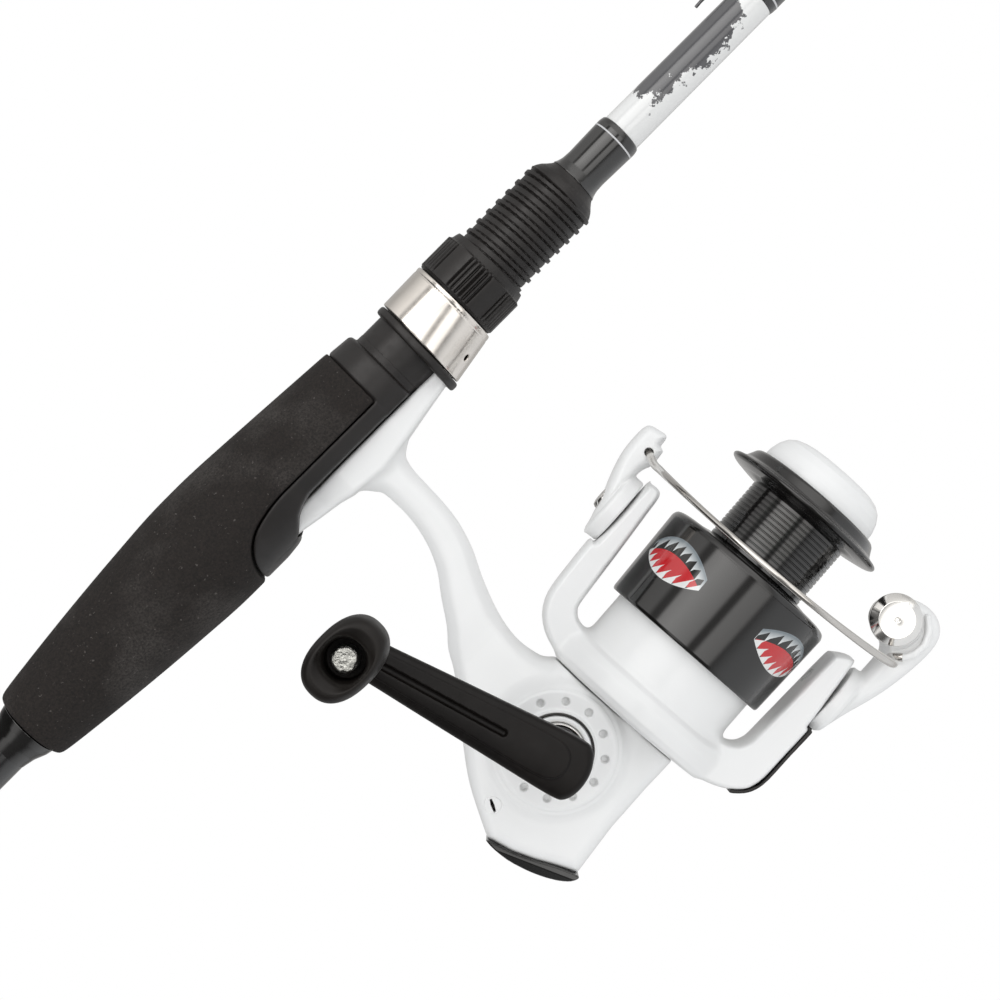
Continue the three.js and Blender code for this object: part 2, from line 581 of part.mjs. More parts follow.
function buildCrankArm() {
  const reach = Math.hypot(CRANK_TIP[0], CRANK_TIP[1] - CRANK_Z);
  const mix = (t) => ARM_HUB_Y.map((y, i) => y + (ARM_TIP_Y[i] - y) * t);
  const arm = loft([
    armRing(-7.0, 4.2, ARM_HUB_Y), armRing(-5.2, 6.2, ARM_HUB_Y), armRing(-2.4, 7.0, ARM_HUB_Y),
    armRing(12, 6.4, mix(0.12)), armRing(30, 5.5, mix(0.6)), armRing(reach - 6, 4.6, ARM_TIP_Y),
    armRing(reach, 4.5, ARM_TIP_Y), armRing(reach + 3.2, 3.4, ARM_TIP_Y), armRing(reach + 4.6, 1.7, ARM_TIP_Y),
  ]);
  const hub = turned([[-41, 0], [-41, 6.4], [-27, 5.6], [-26.3, 5.2], [-26.3, 0]], {
    along: 'y',
    at: [0, 0, CRANK_Z],
  });
  const shaftHole = pin(3.1, -39.7, -20, { along: 'y', at: [0, 0, CRANK_Z] });
  const knobAxis = { along: 'y', at: [CRANK_TIP[0], 0, CRANK_TIP[1]] };
  const spindleHole = pin(1.9, -55, -44, knobAxis);
  add(reel, 'crank_arm', cut(join(arm, hub), shaftHole, spindleHole), MATERIALS.crankBlack);

  const spindle = turned([
    [-75.4, 0], [-75.4, 2.9], [-74, 2.9], [-74, 1.6], [-44.9, 1.6], [-44.9, 2.6], [-43.9, 2.6], [-43.9, 0],
  ], knobAxis);
  const spindleFixed = cut(spindle, box([-30, 10], [-46.2, -43], [55, 70]));
  add(reel, 'knob_spindle', spindleFixed, MATERIALS.steel);

  const knobRing = (y, halfLong, halfShort) => Array.from({ length: 20 }, (_, i) => {
    const angle = (2 * Math.PI * i) / 20;
    return [CRANK_TIP[0] + halfLong * Math.cos(angle), y, CRANK_TIP[1] + halfShort * Math.sin(angle)];
  });
  const knob = loft([
    knobRing(-51.2, 4.6, 4.6), knobRing(-55, 4.8, 4.7), knobRing(-60, 6.0, 5.4), knobRing(-67, 8.4, 6.4),
    knobRing(-73, 10.1, 7.0), knobRing(-79, 10.2, 7.0), knobRing(-83, 9.2, 6.2), knobRing(-84.8, 7.2, 5.4),
  ]);
  const through = pin(1.95, -90, -50, knobAxis);
  const recess = pin(4.3, -90, -73.6, { ...knobAxis, segments: 20 });
  add(reel, 'handle_knob', cut(knob, through, recess), MATERIALS.blackRubber);
}

function buildOscillation() {
  const [x, z] = OSC_AXIS;
  const outline = toothedOutline(OSC_TEETH, OSC_R, OSC_R - 0.8).map(([u, v]) => [u + x, v + z]);
  const disc = plate(outline, [-9.9, -7.6]);
  const crankPin = pin(1.1, -8, -5.6, { along: 'y', at: [x - HALF_STROKE, 0, z], segments: 10 });
  const bore = pin(2.2, -11, -5, { along: 'y', at: [x, 0, z] });
  add(reel, 'oscillation_gear', cut(join(disc, crankPin), bore), MATERIALS.zinc);

  const block = box([-19, -11.6], [-5.2, 3.3], [-6.8, 4.2]);
  const slot = box([x - HALF_STROKE - 1.4, x - HALF_STROKE + 1.4], [-6, -3], [-8, 6]);
  const shaftBore = pin(SHAFT_R + GAP, -25, 0);
  add(reel, 'oscillation_slider', cut(block, slot, shaftBore), MATERIALS.brass);

  const shaft = turned([
    [-19.6, 0], [-19.6, SHAFT_R], [86.5, SHAFT_R], [87, 1.7], [91.6, 1.7], [91.6, 0],
  ]);
  add(reel, 'main_shaft', shaft, MATERIALS.steel);
}

// ---- Rotor and what turns with it ----

function buildPinion() {
  const star = toothedOutline(PINION_TEETH, PINION_R, 2.75).map(([u, v]) => new THREE.Vector2(u, v));
  const teeth = new THREE.ExtrudeGeometry(new THREE.Shape(star), { depth: 11.5, bevelEnabled: false });
  const toothed = solid(teeth.rotateY(Math.PI / 2).translate(3.4, 0, 0));
  const journal = turned([[14.5, 0], [14.5, 3.5], [28, 3.5], [28.4, 3.3], [36, 3.3], [36, 0]], { segments: 20 });
  const bore = pin(SHAFT_R + 0.25, 0, 40);
  add(reel, 'pinion_gear', cut(join(toothed, journal), bore), MATERIALS.brass);
  add(reel, 'pinion_bearing', sleeve(3.8, 8.7, 17.7, 21.7, { segments: 24 }), MATERIALS.steel);
  add(reel, 'anti_reverse_clutch', sleeve(3.8, 8.7, 22.1, 27.2, { segments: 24 }), MATERIALS.steel);
}

function buildRotor() {
  const cup = turned([
    [16.3, 13.2], [16.3, 21.6], [17.4, 23.2], [23.4, 23.2], [25.2, 20.9], [58, 20.9], [58, 19.2],
    [31.4, 19.2], [31.4, 3.65], [27.9, 3.65], [27.9, 13.2],
  ], { segments: 24 });
  const upperArm = plate([
    [16.3, 19.5], [17.4, 25.3], [18.8, 29.3], [21.5, 32.6], [25.6, 34.8], [29.2, 35.5], [43.8, 35.9],
    [44.3, 34.1], [63.8, 33.9], [64.2, 32.4], [63.2, 30], [30.2, 27.7], [28, 26.8], [27.2, 24.6], [27.2, 19.5],
  ], [-8.2, 8.2], 1.0);
  const lowerArm = plate([
    [16.3, -19.5], [17.6, -25.3], [19.7, -30.9], [22.4, -34.2], [25, -35.6], [43.8, -36.0], [44.3, -34.4],
    [63.8, -33.4], [64.2, -31.4], [61.6, -27.4], [30.6, -25.4], [28, -24.4], [27.2, -22.4], [27.2, -19.5],
  ], [-8.2, 8.2], 1.0);
  const insideCup = pin(19.2, 31.4, 70, { segments: 24 });
  const neckRoom = pin(13.2, 10, 27.9, { segments: 24 });
  const spoolRoom = pin(24.9, 36, 70, { segments: 24 });
  const arms = cut(join(upperArm, lowerArm), spoolRoom, insideCup, neckRoom);
  const pivotHoles = pin(2.0, -60, 60, { along: 'z', at: [PIVOT_X, 0, 0] });
  const rotor = cut(join(cup, arms), pivotHoles);
  add(reel, 'rotor', rotor, MATERIALS.whiteGloss);

  const hexagon = turned([[31.7, 0], [31.7, 7.2], [35.2, 6.8], [35.2, 0]], { segments: 6 });
  add(reel, 'rotor_nut', cut(hexagon, pin(3.3 + GAP, 30, 40)), MATERIALS.brass);

  const armCover = plate([[24.6, -36.2], [41.8, -36.5], [41.8, -37.4], [25.4, -37.2], [22.8, -35.8]], [-7.2, 7.2], 0.2);
  add(reel, 'lower_arm_cover', armCover, MATERIALS.blackNylon);
}

// The bail's two arms turn on screws in the rotor's arms; the wire joins them round the -Y side
function buildBail() {
  const pivotAt = { along: 'z', at: [PIVOT_X, 0, 0] };
  const upperDisc = pin(9.4, 34.4, 38.0, pivotAt);
  const upperTop = plate([
    [45.4, 37.5], [48.5, 39.2], [53.6, 40.8], [58, 42.2], [62.3, 43.4], [66.4, 44.0], [74.4, 43.7],
    [75.6, 42.6], [76, 38.6], [73.2, 37.9], [72.7, 36.6], [68, 36.6], [65, 36.6], [62, 37.2],
  ], [-6.2, 6.2], 0.9);
  const upperBore = pin(2.0, 30, 50, pivotAt);
  const upperRecess = pin(3.5, 39.2, 50, pivotAt);
  const wireHole = pin(1.05, 33, 40.5, { along: 'z', at: [69.3, -3.0, 0], segments: 12 });
  add(reel, 'bail_arm', cut(join(upperDisc, upperTop), upperBore, upperRecess, wireHole), MATERIALS.whiteGloss);

  const lowerDisc = pin(9.4, -38.6, -34.8, pivotAt);
  const lowerPlate = plate([
    [47.4, -38.1], [49.2, -39.8], [52, -40.4], [57.3, -42.2], [63.4, -44.0], [69.6, -45.4], [78.3, -46.5],
    [82.4, -46.1], [85.4, -43.6], [86.6, -40.0], [86.4, -36], [84, -31.8], [80, -29.6], [76, -30],
    [73.4, -32.6], [72.4, -37.6], [64, -37.4],
  ], [-5.6, 8.0], 0.9);
  const rollerBay = turned([[-8, 0], [-8, 8.4], [3.4, 8.4], [3.4, 0]], {
    along: 'y',
    at: [ROLLER_AXIS[0], 0, ROLLER_AXIS[1]],
    segments: 24,
  });
  const lowerBore = pin(2.0, -50, -30, pivotAt);
  const lowerRecess = pin(3.5, -50, -38.9, pivotAt);
  const rollerPinHole = pin(1.4, 0, 6.2, { along: 'y', at: [ROLLER_AXIS[0], 0, ROLLER_AXIS[1]], segments: 12 });
  const rollerArm = cut(join(lowerDisc, lowerPlate), lowerBore, lowerRecess, rollerBay, rollerPinHole);
  add(reel, 'roller_arm', rollerArm, MATERIALS.whiteGloss);

  const headUp = turned([[30.6, 0], [30.6, 1.7], [39.5, 1.7], [39.5, 3.1], [41.3, 2.6], [41.3, 0]], pivotAt);
  add(reel, 'upper_pivot_screw', headUp, MATERIALS.steel);
  const headDown = turned([[-28.4, 0], [-28.4, 1.7], [-39.2, 1.7], [-39.2, 3.1], [-40.8, 2.6], [-40.8, 0]], pivotAt);
  add(reel, 'lower_pivot_screw', headDown, MATERIALS.steel);

  const rollerAt = { along: 'y', at: [ROLLER_AXIS[0], 0, ROLLER_AXIS[1]], segments: 20 };
  const roller = turned([
    [-6.0, 1.5], [-6.0, 4.9], [-4.8, 4.9], [-3.0, 3.9], [0.4, 3.9], [2.0, 4.9], [3.0, 4.9], [3.0, 1.5],
  ], rollerAt);
  add(reel, 'line_roller', roller, MATERIALS.steel);
  const cap = turned([[-11.0, 0], [-11.0, 5.6], [-10.2, 7.1], [-6.4, 7.1], [-6.4, 1.2], [6.0, 1.2], [6.0, 0]], rollerAt);
  const wireSocket = pin(1.05, -48, -39.8, { along: 'z', at: [75.6, -8.4, 0], segments: 12 });
  add(reel, 'roller_cap', cut(cap, wireSocket), MATERIALS.steel);

  buildBailWire();
}

const WIRE_R = 0.7;
const WIRE_REACH = 52;              // how far the loop bulges beyond its two ends

function buildBailWire() {
  const points = [[69.3, -3.0, 38.8], [69.3, -3.0, 37.4], [69.3, -3.0, 36.0]];
  const turns = 15;
  for (let i = 1; i <= turns; i += 1) {
    const angle = Math.PI * (0.5 - i / turns);
    const across = Math.cos(angle) ** 0.86;
    const x = 68.6 + 0.8 * Math.sin(angle) ** 2 - 4.6 * across + 1.6 * (i / turns);
    points.push([x, -5.2 - WIRE_REACH * across - 1.6 * (i / turns), -1.9 + 37.2 * Math.sin(angle)]);
  }
  points.push([73.6, -8.2, -42.6]);
  points.push([75.6, -8.4, -42.4]);
  points.push([75.6, -8.4, -41.2]);
  add(reel, 'bail_wire', wire(points, WIRE_R, { steps: 40, sides: 6 }), MATERIALS.steel);
}

// ---- Spool and drag ----

function buildSpool() {
  const spool = turned([
    [38.7, 22.1], [38.7, 23.4], [63.0, 24.2], [64.2, 22.6], [64.6, 14.0], [82.3, 14.0], [83.4, 21.8],
    [84.4, 22.8], [85.6, 22.2], [89.0, 18.4], [89.0, 13.0], [77.0, 13.0], [77.0, 2.6], [54, 2.6],
    [54, 5.6], [74.6, 5.6], [74.6, 12.4], [62.2, 12.4], [62.2, 22.4],
  ], { segments: 24 });
  add(reel, 'spool', spool, MATERIALS.blackGloss);
  add(reel, 'drag_washer_felt', sleeve(3.0, 12.4, 77.3, 80.4, { segments: 24 }), MATERIALS.felt);
  add(reel, 'drag_washer_steel', sleeve(2.3, 12.4, 80.7, 82.4, { segments: 24 }), MATERIALS.steel);

  const knob = turned([
    [82.8, 0], [82.8, 12.2], [89.3, 12.2], [89.3, 16.3], [92, 16.2], [94.6, 15.2], [96.4, 12.9],
    [97.6, 10.2], [98.2, 7], [98.2, 0],
  ], { segments: 24 });
  const shaftRoom = pin(SHAFT_R + GAP, 80, 92.2);
  add(reel, 'drag_knob', cut(knob, shaftRoom), MATERIALS.whiteGloss);
}

buildHandle();
buildGrip();
buildSeat();
buildHoodAndNut();
buildKeeper();
buildTipSection();
GUIDES.forEach(buildGuide);
buildTipTop();
buildHousing();
buildDrive();
buildPinion();
buildRotor();
buildBail();
buildSpool();

const fishingRodAndReel = new THREE.Group();
fishingRodAndReel.add(rod, reel);
export default fishingRodAndReel;
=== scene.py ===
"""Looks for the spinning rod and reel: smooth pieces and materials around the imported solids.

Lengths in this file are millimetres, as in the solids, and become metres in place().
Rod pieces use the frame's own axes. Reel pieces use the reel's frame: x along the spool's axis,
z towards the rod, origin on the spool's axis straight under the crank's axis.
"""

import math

import bmesh
import bpy
import numpy as np
from mathutils import Matrix, Vector


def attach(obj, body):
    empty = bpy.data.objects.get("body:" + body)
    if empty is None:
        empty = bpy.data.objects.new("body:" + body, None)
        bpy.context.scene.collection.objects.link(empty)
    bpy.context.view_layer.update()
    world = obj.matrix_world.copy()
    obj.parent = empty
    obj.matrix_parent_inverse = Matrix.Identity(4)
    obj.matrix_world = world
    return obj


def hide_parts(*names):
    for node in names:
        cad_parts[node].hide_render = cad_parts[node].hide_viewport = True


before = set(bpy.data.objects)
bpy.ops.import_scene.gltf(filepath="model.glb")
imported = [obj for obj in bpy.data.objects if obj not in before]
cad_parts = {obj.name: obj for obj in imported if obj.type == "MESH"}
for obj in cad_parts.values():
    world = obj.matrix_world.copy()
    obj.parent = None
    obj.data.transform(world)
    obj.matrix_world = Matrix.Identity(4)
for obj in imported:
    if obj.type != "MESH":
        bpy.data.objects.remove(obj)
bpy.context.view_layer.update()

MM = 0.001
TILT = math.radians(3.85)       # of the reel's axis against the rod
# a local frame is its axes as columns, and its origin
ROD = (np.eye(3), np.zeros(3))
REEL = (
    np.array([[math.cos(TILT), 0, -math.sin(TILT)], [0, 1, 0], [math.sin(TILT), 0, math.cos(TILT)]]),
    np.array([285.0, 0.0, -104.7]),
)
CRANK_Z = 9.0                   # of the crank's axis
CRANK_CENTRE = (0.0, 0.0, CRANK_Z)
CRANK_TIP = (-11.0, 61.7)       # x and z of the knob's axis
PIVOT_X = 54.0                  # of the bail's axis
PIVOT = (PIVOT_X, 0, 0)
ROLLER = (78.4, -33.7)          # x and z of the line roller's axis


def place(points, where):
    """Points of a local frame, in millimetres, as points of the object's frame in metres."""
    axes, origin = where
    return (np.asarray(points, float) @ axes.T + origin) * MM


def to_reel(points):
    """(x, z) points of the rod's plane in the reel's frame."""
    flat = np.array([(x, 0.0, z) for x, z in points])
    local = (flat - REEL[1]) @ REEL[0]
    return [(p[0], p[2]) for p in local]


# ---------------------------------------------------------------- meshes


def new_object(name, data):
    """An object in the scene."""
    obj = bpy.data.objects.new(name, data)
    bpy.context.scene.collection.objects.link(obj)
    return obj


def piece(name, skin, material, body, where=REEL, nodes=(), sharp=34, normals=None):
    """A mesh object that rides on a body, stands for CAD nodes and fills the slot of its finish."""
    verts, faces = skin
    mesh = bpy.data.meshes.new(name)
    mesh.from_pydata(place(verts, where).tolist(), [], [list(map(int, f)) for f in faces])
    if normals is None:
        bm = bmesh.new()
        bm.from_mesh(mesh)
        bmesh.ops.remove_doubles(bm, verts=bm.verts, dist=1e-7)
        bmesh.ops.recalc_face_normals(bm, faces=bm.faces)
        if bm.calc_volume(signed=True) < 0:
            bmesh.ops.reverse_faces(bm, faces=bm.faces)
        bm.to_mesh(mesh)
        bm.free()
    mesh.shade_smooth()
    if normals is None:
        mesh.set_sharp_from_angle(angle=math.radians(sharp))
    else:
        mesh.normals_split_custom_set_from_vertices((normals @ where[0].T).tolist())
    mesh.materials.append(material)
    obj = new_object(name, mesh)
    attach(obj, body)
    if nodes:
        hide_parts(*nodes)
    return obj


def soften(points, radius, steps=4, closed=False):
    """A polyline with each corner rounded by a short curve."""
    pts = [np.array(p, float) for p in points]
    count = len(pts)
    out = []
    for i, p in enumerate(pts):
        if not closed and i in (0, count - 1):
            out.append(p)
            continue
        before, after = pts[i - 1], pts[(i + 1) % count]
        a, b = before - p, after - p
        la, lb = np.linalg.norm(a), np.linalg.norm(b)
        cut = min(radius, 0.45 * la, 0.45 * lb)
        start, end = p + a / la * cut, p + b / lb * cut
        for k in range(steps + 1):
            t = k / steps
            out.append((1 - t) ** 2 * start + 2 * t * (1 - t) * p + t * t * end)
    return out


def spline(points, steps=6, closed=False):
    """A smooth curve through points."""
    pts = np.array(points, float)
    if closed:
        pts = np.vstack([pts[-1], pts, pts[:2]])
    else:
        pts = np.vstack([2 * pts[0] - pts[1], pts, 2 * pts[-1] - pts[-2]])
    out = []
    for i in range(1, len(pts) - 2):
        a, b, c, d = pts[i - 1 : i + 3]
        for k in range(steps):
            t = k / steps
            curve = (2 * a - 5 * b + 4 * c - d) * t * t
            out.append(0.5 * (2 * b + (c - a) * t + curve + (3 * b - a - 3 * c + d) * t**3))
    if not closed:
        out.append(pts[-2])
    return out


def grid(rings, loop=False):
    """Vertices and faces of a skin through rings of points; open ends are closed with one face each."""
    rings = np.asarray(rings, float)
    n, m = rings.shape[:2]
    faces = []
    for i in range(n if loop else n - 1):
        j = (i + 1) % n
        for k in range(m):
            q = (k + 1) % m
            faces.append((i * m + k, i * m + q, j * m + q, j * m + k))
    if not loop:
        faces.append(tuple(range(m)))
        faces.append(tuple(range((n - 1) * m, n * m)))
    return rings.reshape(-1, 3), faces


def ring(along, radius, axis, centre, count):
    """One ring round an axis; radius may be an array over the angle."""
    angle = np.linspace(0, 2 * np.pi, count, endpoint=False)
    u, v = radius * np.cos(angle), radius * np.sin(angle)
    a = np.full(count, float(along))
    order = {"x": (a, u, v), "y": (u, a, v), "z": (u, v, a)}[axis]
    return np.stack(order, 1) + np.array(centre)


def lathe(profile, axis="x", centre=(0, 0, 0), count=72, round_by=0.3, closed=False):
    """A solid of revolution with softened corners; the profile lists (place, radius)."""
    path = soften(profile, round_by, closed=closed) if round_by else [np.array(p, float) for p in profile]
    rings = [ring(a, max(r, 1e-4), axis, centre, count) for a, r in path]
    return grid(rings, loop=closed)


def tube(points, radius, count=16, steps=8):
    """A round bar along a smooth curve, closed with a flat face at each end."""
    path = np.array(spline(points, steps))
    tangent = np.gradient(path, axis=0)
    tangent /= np.linalg.norm(tangent, axis=1)[:, None]
    side = np.cross(tangent[0], (0.3, 0.2, 1.0))
    rings = []
    radii = np.full(len(path), radius) if np.isscalar(radius) else np.interp(
        np.linspace(0, 1, len(path)), np.linspace(0, 1, len(radius)), radius
    )
    angle = np.linspace(0, 2 * np.pi, count, endpoint=False)
    for p, t, r in zip(path, tangent, radii):
        side = side - t * side.dot(t)
        side /= np.linalg.norm(side)
        other = np.cross(t, side)
        rings.append(p + r * (np.outer(np.cos(angle), side) + np.outer(np.sin(angle), other)))
    return grid(rings)


# ---------------------------------------------------------------- fields: signed distances on a grid


def polygon(outline, u, v):
    """Signed distance to a closed outline, negative inside, over broadcast arrays u and v."""
    pts = np.asarray(outline, float)
    shape = np.broadcast(u, v).shape
    best = np.full(shape, 1e9)
    inside = np.zeros(shape, bool)
    for i in range(len(pts)):
        (ax, ay), (bx, by) = pts[i], pts[(i + 1) % len(pts)]
        ex, ey = bx - ax, by - ay
        t = np.clip(((u - ax) * ex + (v - ay) * ey) / max(ex * ex + ey * ey, 1e-12), 0, 1)
        best = np.minimum(best, (u - ax - t * ex) ** 2 + (v - ay - t * ey) ** 2)
        if ay != by:
            crosses = (ay > v) != (by > v)
            inside ^= crosses & (u < ax + (v - ay) / ey * ex)
    return np.where(inside, -np.sqrt(best), np.sqrt(best))


def join(a, b, k=0.0):
    """Union of two fields with a fillet of about k."""
    if not k:
        return np.minimum(a, b)
    h = np.clip(0.5 + 0.5 * (b - a) / k, 0, 1)
    return b + (a - b) * h - k * h * (1 - h)


def cut(a, b, k=0.0):
    """Field a with field b taken away, the edge eased by k."""
    return -join(-a, b, k)


def both(a, b, k):
    """Where two fields overlap, the edge between them eased by k."""
    return -join(-a, -b, k)


def meet(a, b, edge):
    """Where two fields overlap, the edge between them rounded to a radius."""
    a, b = a + edge, b + edge
    return np.hypot(np.maximum(a, 0), np.maximum(b, 0)) + np.minimum(np.maximum(a, b), 0) - edge


def slab(flat, across, low, high, edge):
    """A flat field given thickness from low to high, with rounded edges."""
    return meet(flat, np.abs(across - (low + high) / 2) - (high - low) / 2, edge)


def lens(flat, depth, side, half, powers):
    """A flat field swelled to a lens of a depth and a half thickness: 0 at its skin, -1 inside."""
    inward, sideways, whole = powers
    from_skin = np.maximum(1 + flat / depth, 0) ** inward
    from_middle = (np.abs(side) / half) ** sideways
    return (from_skin + from_middle) ** (1 / whole) - 1


class Field:
    """A box of grid points on which fields are worked out, and the skin of where they are zero."""

    def __init__(self, low, high, step):
        self.low, self.step = np.array(low, float), step
        counts = np.ceil((np.array(high, float) - self.low) / step).astype(int) + 1
        axes = [self.low[i] + step * np.arange(counts[i]) for i in range(3)]
        self.x, self.y, self.z = axes[0][:, None, None], axes[1][None, :, None], axes[2][None, None, :]
        self.axes = axes

    def turned(self, profile, axis="x", centre=(0.0, 0.0, 0.0)):
        """Distance to a solid of revolution whose half outline lists (place, radius)."""
        k = "xyz".index(axis)
        grids = [self.x - centre[0], self.y - centre[1], self.z - centre[2]]
        others = [grids[i] for i in range(3) if i != k]
        rho = np.hypot(*others)
        along = self.axes[k] - centre[k]
        fine = self.step / 2
        radii = np.arange(0, rho.max() + 2 * fine, fine)
        table = polygon(profile, along[:, None], radii[None, :])
        where = rho / fine
        low = where.astype(int)
        part = where - low
        flat = np.squeeze(low, axis=k)
        mix = np.squeeze(part, axis=k)
        full = table[:, flat] * (1 - mix) + table[:, flat + 1] * mix
        return np.moveaxis(full, 0, k)

    def drum(self, low, high, radius, axis="x", centre=(0.0, 0.0, 0.0)):
        """Distance to a plain cylinder."""
        return self.turned([(low, 0), (low, radius), (high, radius), (high, 0)], axis, centre)

    def bar(self, axis, u, v, radius):
        """Distance to an endless round bar along an axis, at u and v on the two others."""
        a, b = (places for name, places in zip("xyz", (self.x, self.y, self.z)) if name != axis)
        return np.hypot(a - u, b - v) - radius

    def plate(self, outline, low, high, edge):
        """An outline of (x, z) points given thickness from low to high along y."""
        return slab(polygon(outline, self.x, self.z), self.y, low, high, edge)

    def rod(self, a, b, radius):
        """Distance to a round bar with round ends."""
        a, b = np.array(a, float), np.array(b, float)
        e = b - a
        px, py, pz = self.x - a[0], self.y - a[1], self.z - a[2]
        t = np.clip((px * e[0] + py * e[1] + pz * e[2]) / e.dot(e), 0, 1)
        return np.sqrt((px - t * e[0]) ** 2 + (py - t * e[1]) ** 2 + (pz - t * e[2]) ** 2) - radius

    def skin(self, field):
        """Vertices, faces and normals of the surface where the field is zero."""
        f = np.ascontiguousarray(np.broadcast_to(field, [len(a) for a in self.axes]), dtype=np.float32)
        inside = f < 0
        n = np.array(f.shape)
        offsets = [(i, j, k) for i in (0, 1) for j in (0, 1) for k in (0, 1)]
        total = np.zeros(n - 1, np.int8)
        for i, j, k in offsets:
            total += inside[i : n[0] - 1 + i, j : n[1] - 1 + j, k : n[2] - 1 + k]
        cells = np.argwhere((total > 0) & (total < 8))
        number = np.full(n - 1, -1, np.int64)
        number[tuple(cells.T)] = np.arange(len(cells))
        values = {o: f[tuple((cells + o).T)] for o in offsets}
        at = np.zeros((len(cells), 3))
        hits = np.zeros(len(cells))
        for a in offsets:
            for axis in range(3):
                if a[axis]:
                    continue
                b = tuple(v + (i == axis) for i, v in enumerate(a))
                fa, fb = values[a], values[b]
                crossed = (fa < 0) != (fb < 0)
                t = np.where(crossed, fa / np.where(crossed, fa - fb, 1), 0)
                at += np.where(crossed[:, None], np.array(a) + t[:, None] * (np.array(b) - np.array(a)), 0)
                hits += crossed
        points = cells + at / hits[:, None]
        faces = []
        for axis in range(3):
            p, q = (axis + 1) % 3, (axis + 2) % 3
            first = [slice(0, n[i] - 1) if i == axis else slice(1, n[i] - 1) for i in range(3)]
            second = list(first)
            second[axis] = slice(1, n[axis])
            here, there = inside[tuple(first)], inside[tuple(second)]
            for flip, chosen in ((False, here & ~there), (True, ~here & there)):
                corner = np.argwhere(chosen)
                corner[:, p] += 1
                corner[:, q] += 1
                around = []
                for dp, dq in ((-1, -1), (0, -1), (0, 0), (-1, 0)):
                    cell = corner.copy()
                    cell[:, p] += dp
                    cell[:, q] += dq
                    around.append(number[tuple(cell.T)])
                quad = np.stack(around, 1)
                faces.append(quad[:, ::-1] if flip else quad)
        for _ in range(3):
            value, slope = self._sample(f, points)
            size = (slope**2).sum(1)
            move = np.clip(value / np.maximum(size, 0.05), -0.5, 0.5)
            points = points - slope * move[:, None]
        _, slope = self._sample(f, points)
        normals = slope / np.maximum(np.linalg.norm(slope, axis=1), 1e-9)[:, None]
        return self.low + points * self.step, np.vstack(faces), normals

    def _sample(self, f, points):
        """The field in steps and its slope at points given in grid steps."""
        top = np.array(f.shape) - 2
        p = np.clip(points, 1, top - 1e-3)

        def value(q):
            base = np.floor(q).astype(int)
            t = q - base
            out = 0
            for i in (0, 1):
                for j in (0, 1):
                    for k in (0, 1):
                        weight = (
                            (t[:, 0] if i else 1 - t[:, 0])
                            * (t[:, 1] if j else 1 - t[:, 1])
                            * (t[:, 2] if k else 1 - t[:, 2])
                        )
                        out = out + weight * f[base[:, 0] + i, base[:, 1] + j, base[:, 2] + k]
            return out / self.step

        reach = 0.7
        slope = np.stack(
            [(value(np.clip(p + reach * e, 0, top + 0.99)) - value(np.clip(p - reach * e, 0,
                top + 0.99))) / (2 * reach)
             for e in np.eye(3)], 1
        )
        return value(p), slope


def carved(name, field, distance, material, body, nodes=(), where=REEL):
    """A piece whose skin is where a field is zero."""
    verts, faces, normals = field.skin(distance)
    return piece(name, (verts, faces), material, body, where, nodes, normals=normals)


# ---------------------------------------------------------------- materials


class Tree:
    """A node tree with helpers that make nodes and join them up."""

    def __init__(self, owner):
        owner.use_nodes = True
        self.nodes, self.links = owner.node_tree.nodes, owner.node_tree.links

    def fill(self, socket, value):
        """Link a socket to another one, or give it a constant."""
        if isinstance(value, bpy.types.NodeSocket):
            self.links.new(value, socket)
        else:
            socket.default_value = value

    def node(self, kind, inputs=None, **settings):
        """A node with its settings and inputs; an input is a constant or another node's socket."""
        made = self.nodes.new(kind)
        for name, value in settings.items():
            setattr(made, name, value)
        for key, value in (inputs or {}).items():
            self.fill(made.inputs[key], value)
        return made

    def span(self, value, low, high, to_low=0.0, to_high=1.0):
        """A value's place between two limits, as a number between two others."""
        ends = {"From Min": low, "From Max": high, "To Min": to_low, "To Max": to_high}
        return self.node("ShaderNodeMapRange", {"Value": value, **ends}).outputs["Result"]

    def math(self, operation, a, b=0.0):
        return self.node("ShaderNodeMath", {0: a, 1: b}, operation=operation).outputs[0]

    def add(self, a, b):
        return self.math("ADD", a, b)

    def sub(self, a, b):
        return self.math("SUBTRACT", a, b)

    def mul(self, a, b):
        return self.math("MULTIPLY", a, b)

    def mix(self, factor, a, b):
        """The colour a where the factor is 0 and b where it is 1."""
        a, b = ((*c, 1) if isinstance(c, tuple) else c for c in (a, b))
        return self.node("ShaderNodeMix", {0: factor, 6: a, 7: b}, data_type="RGBA").outputs[2]


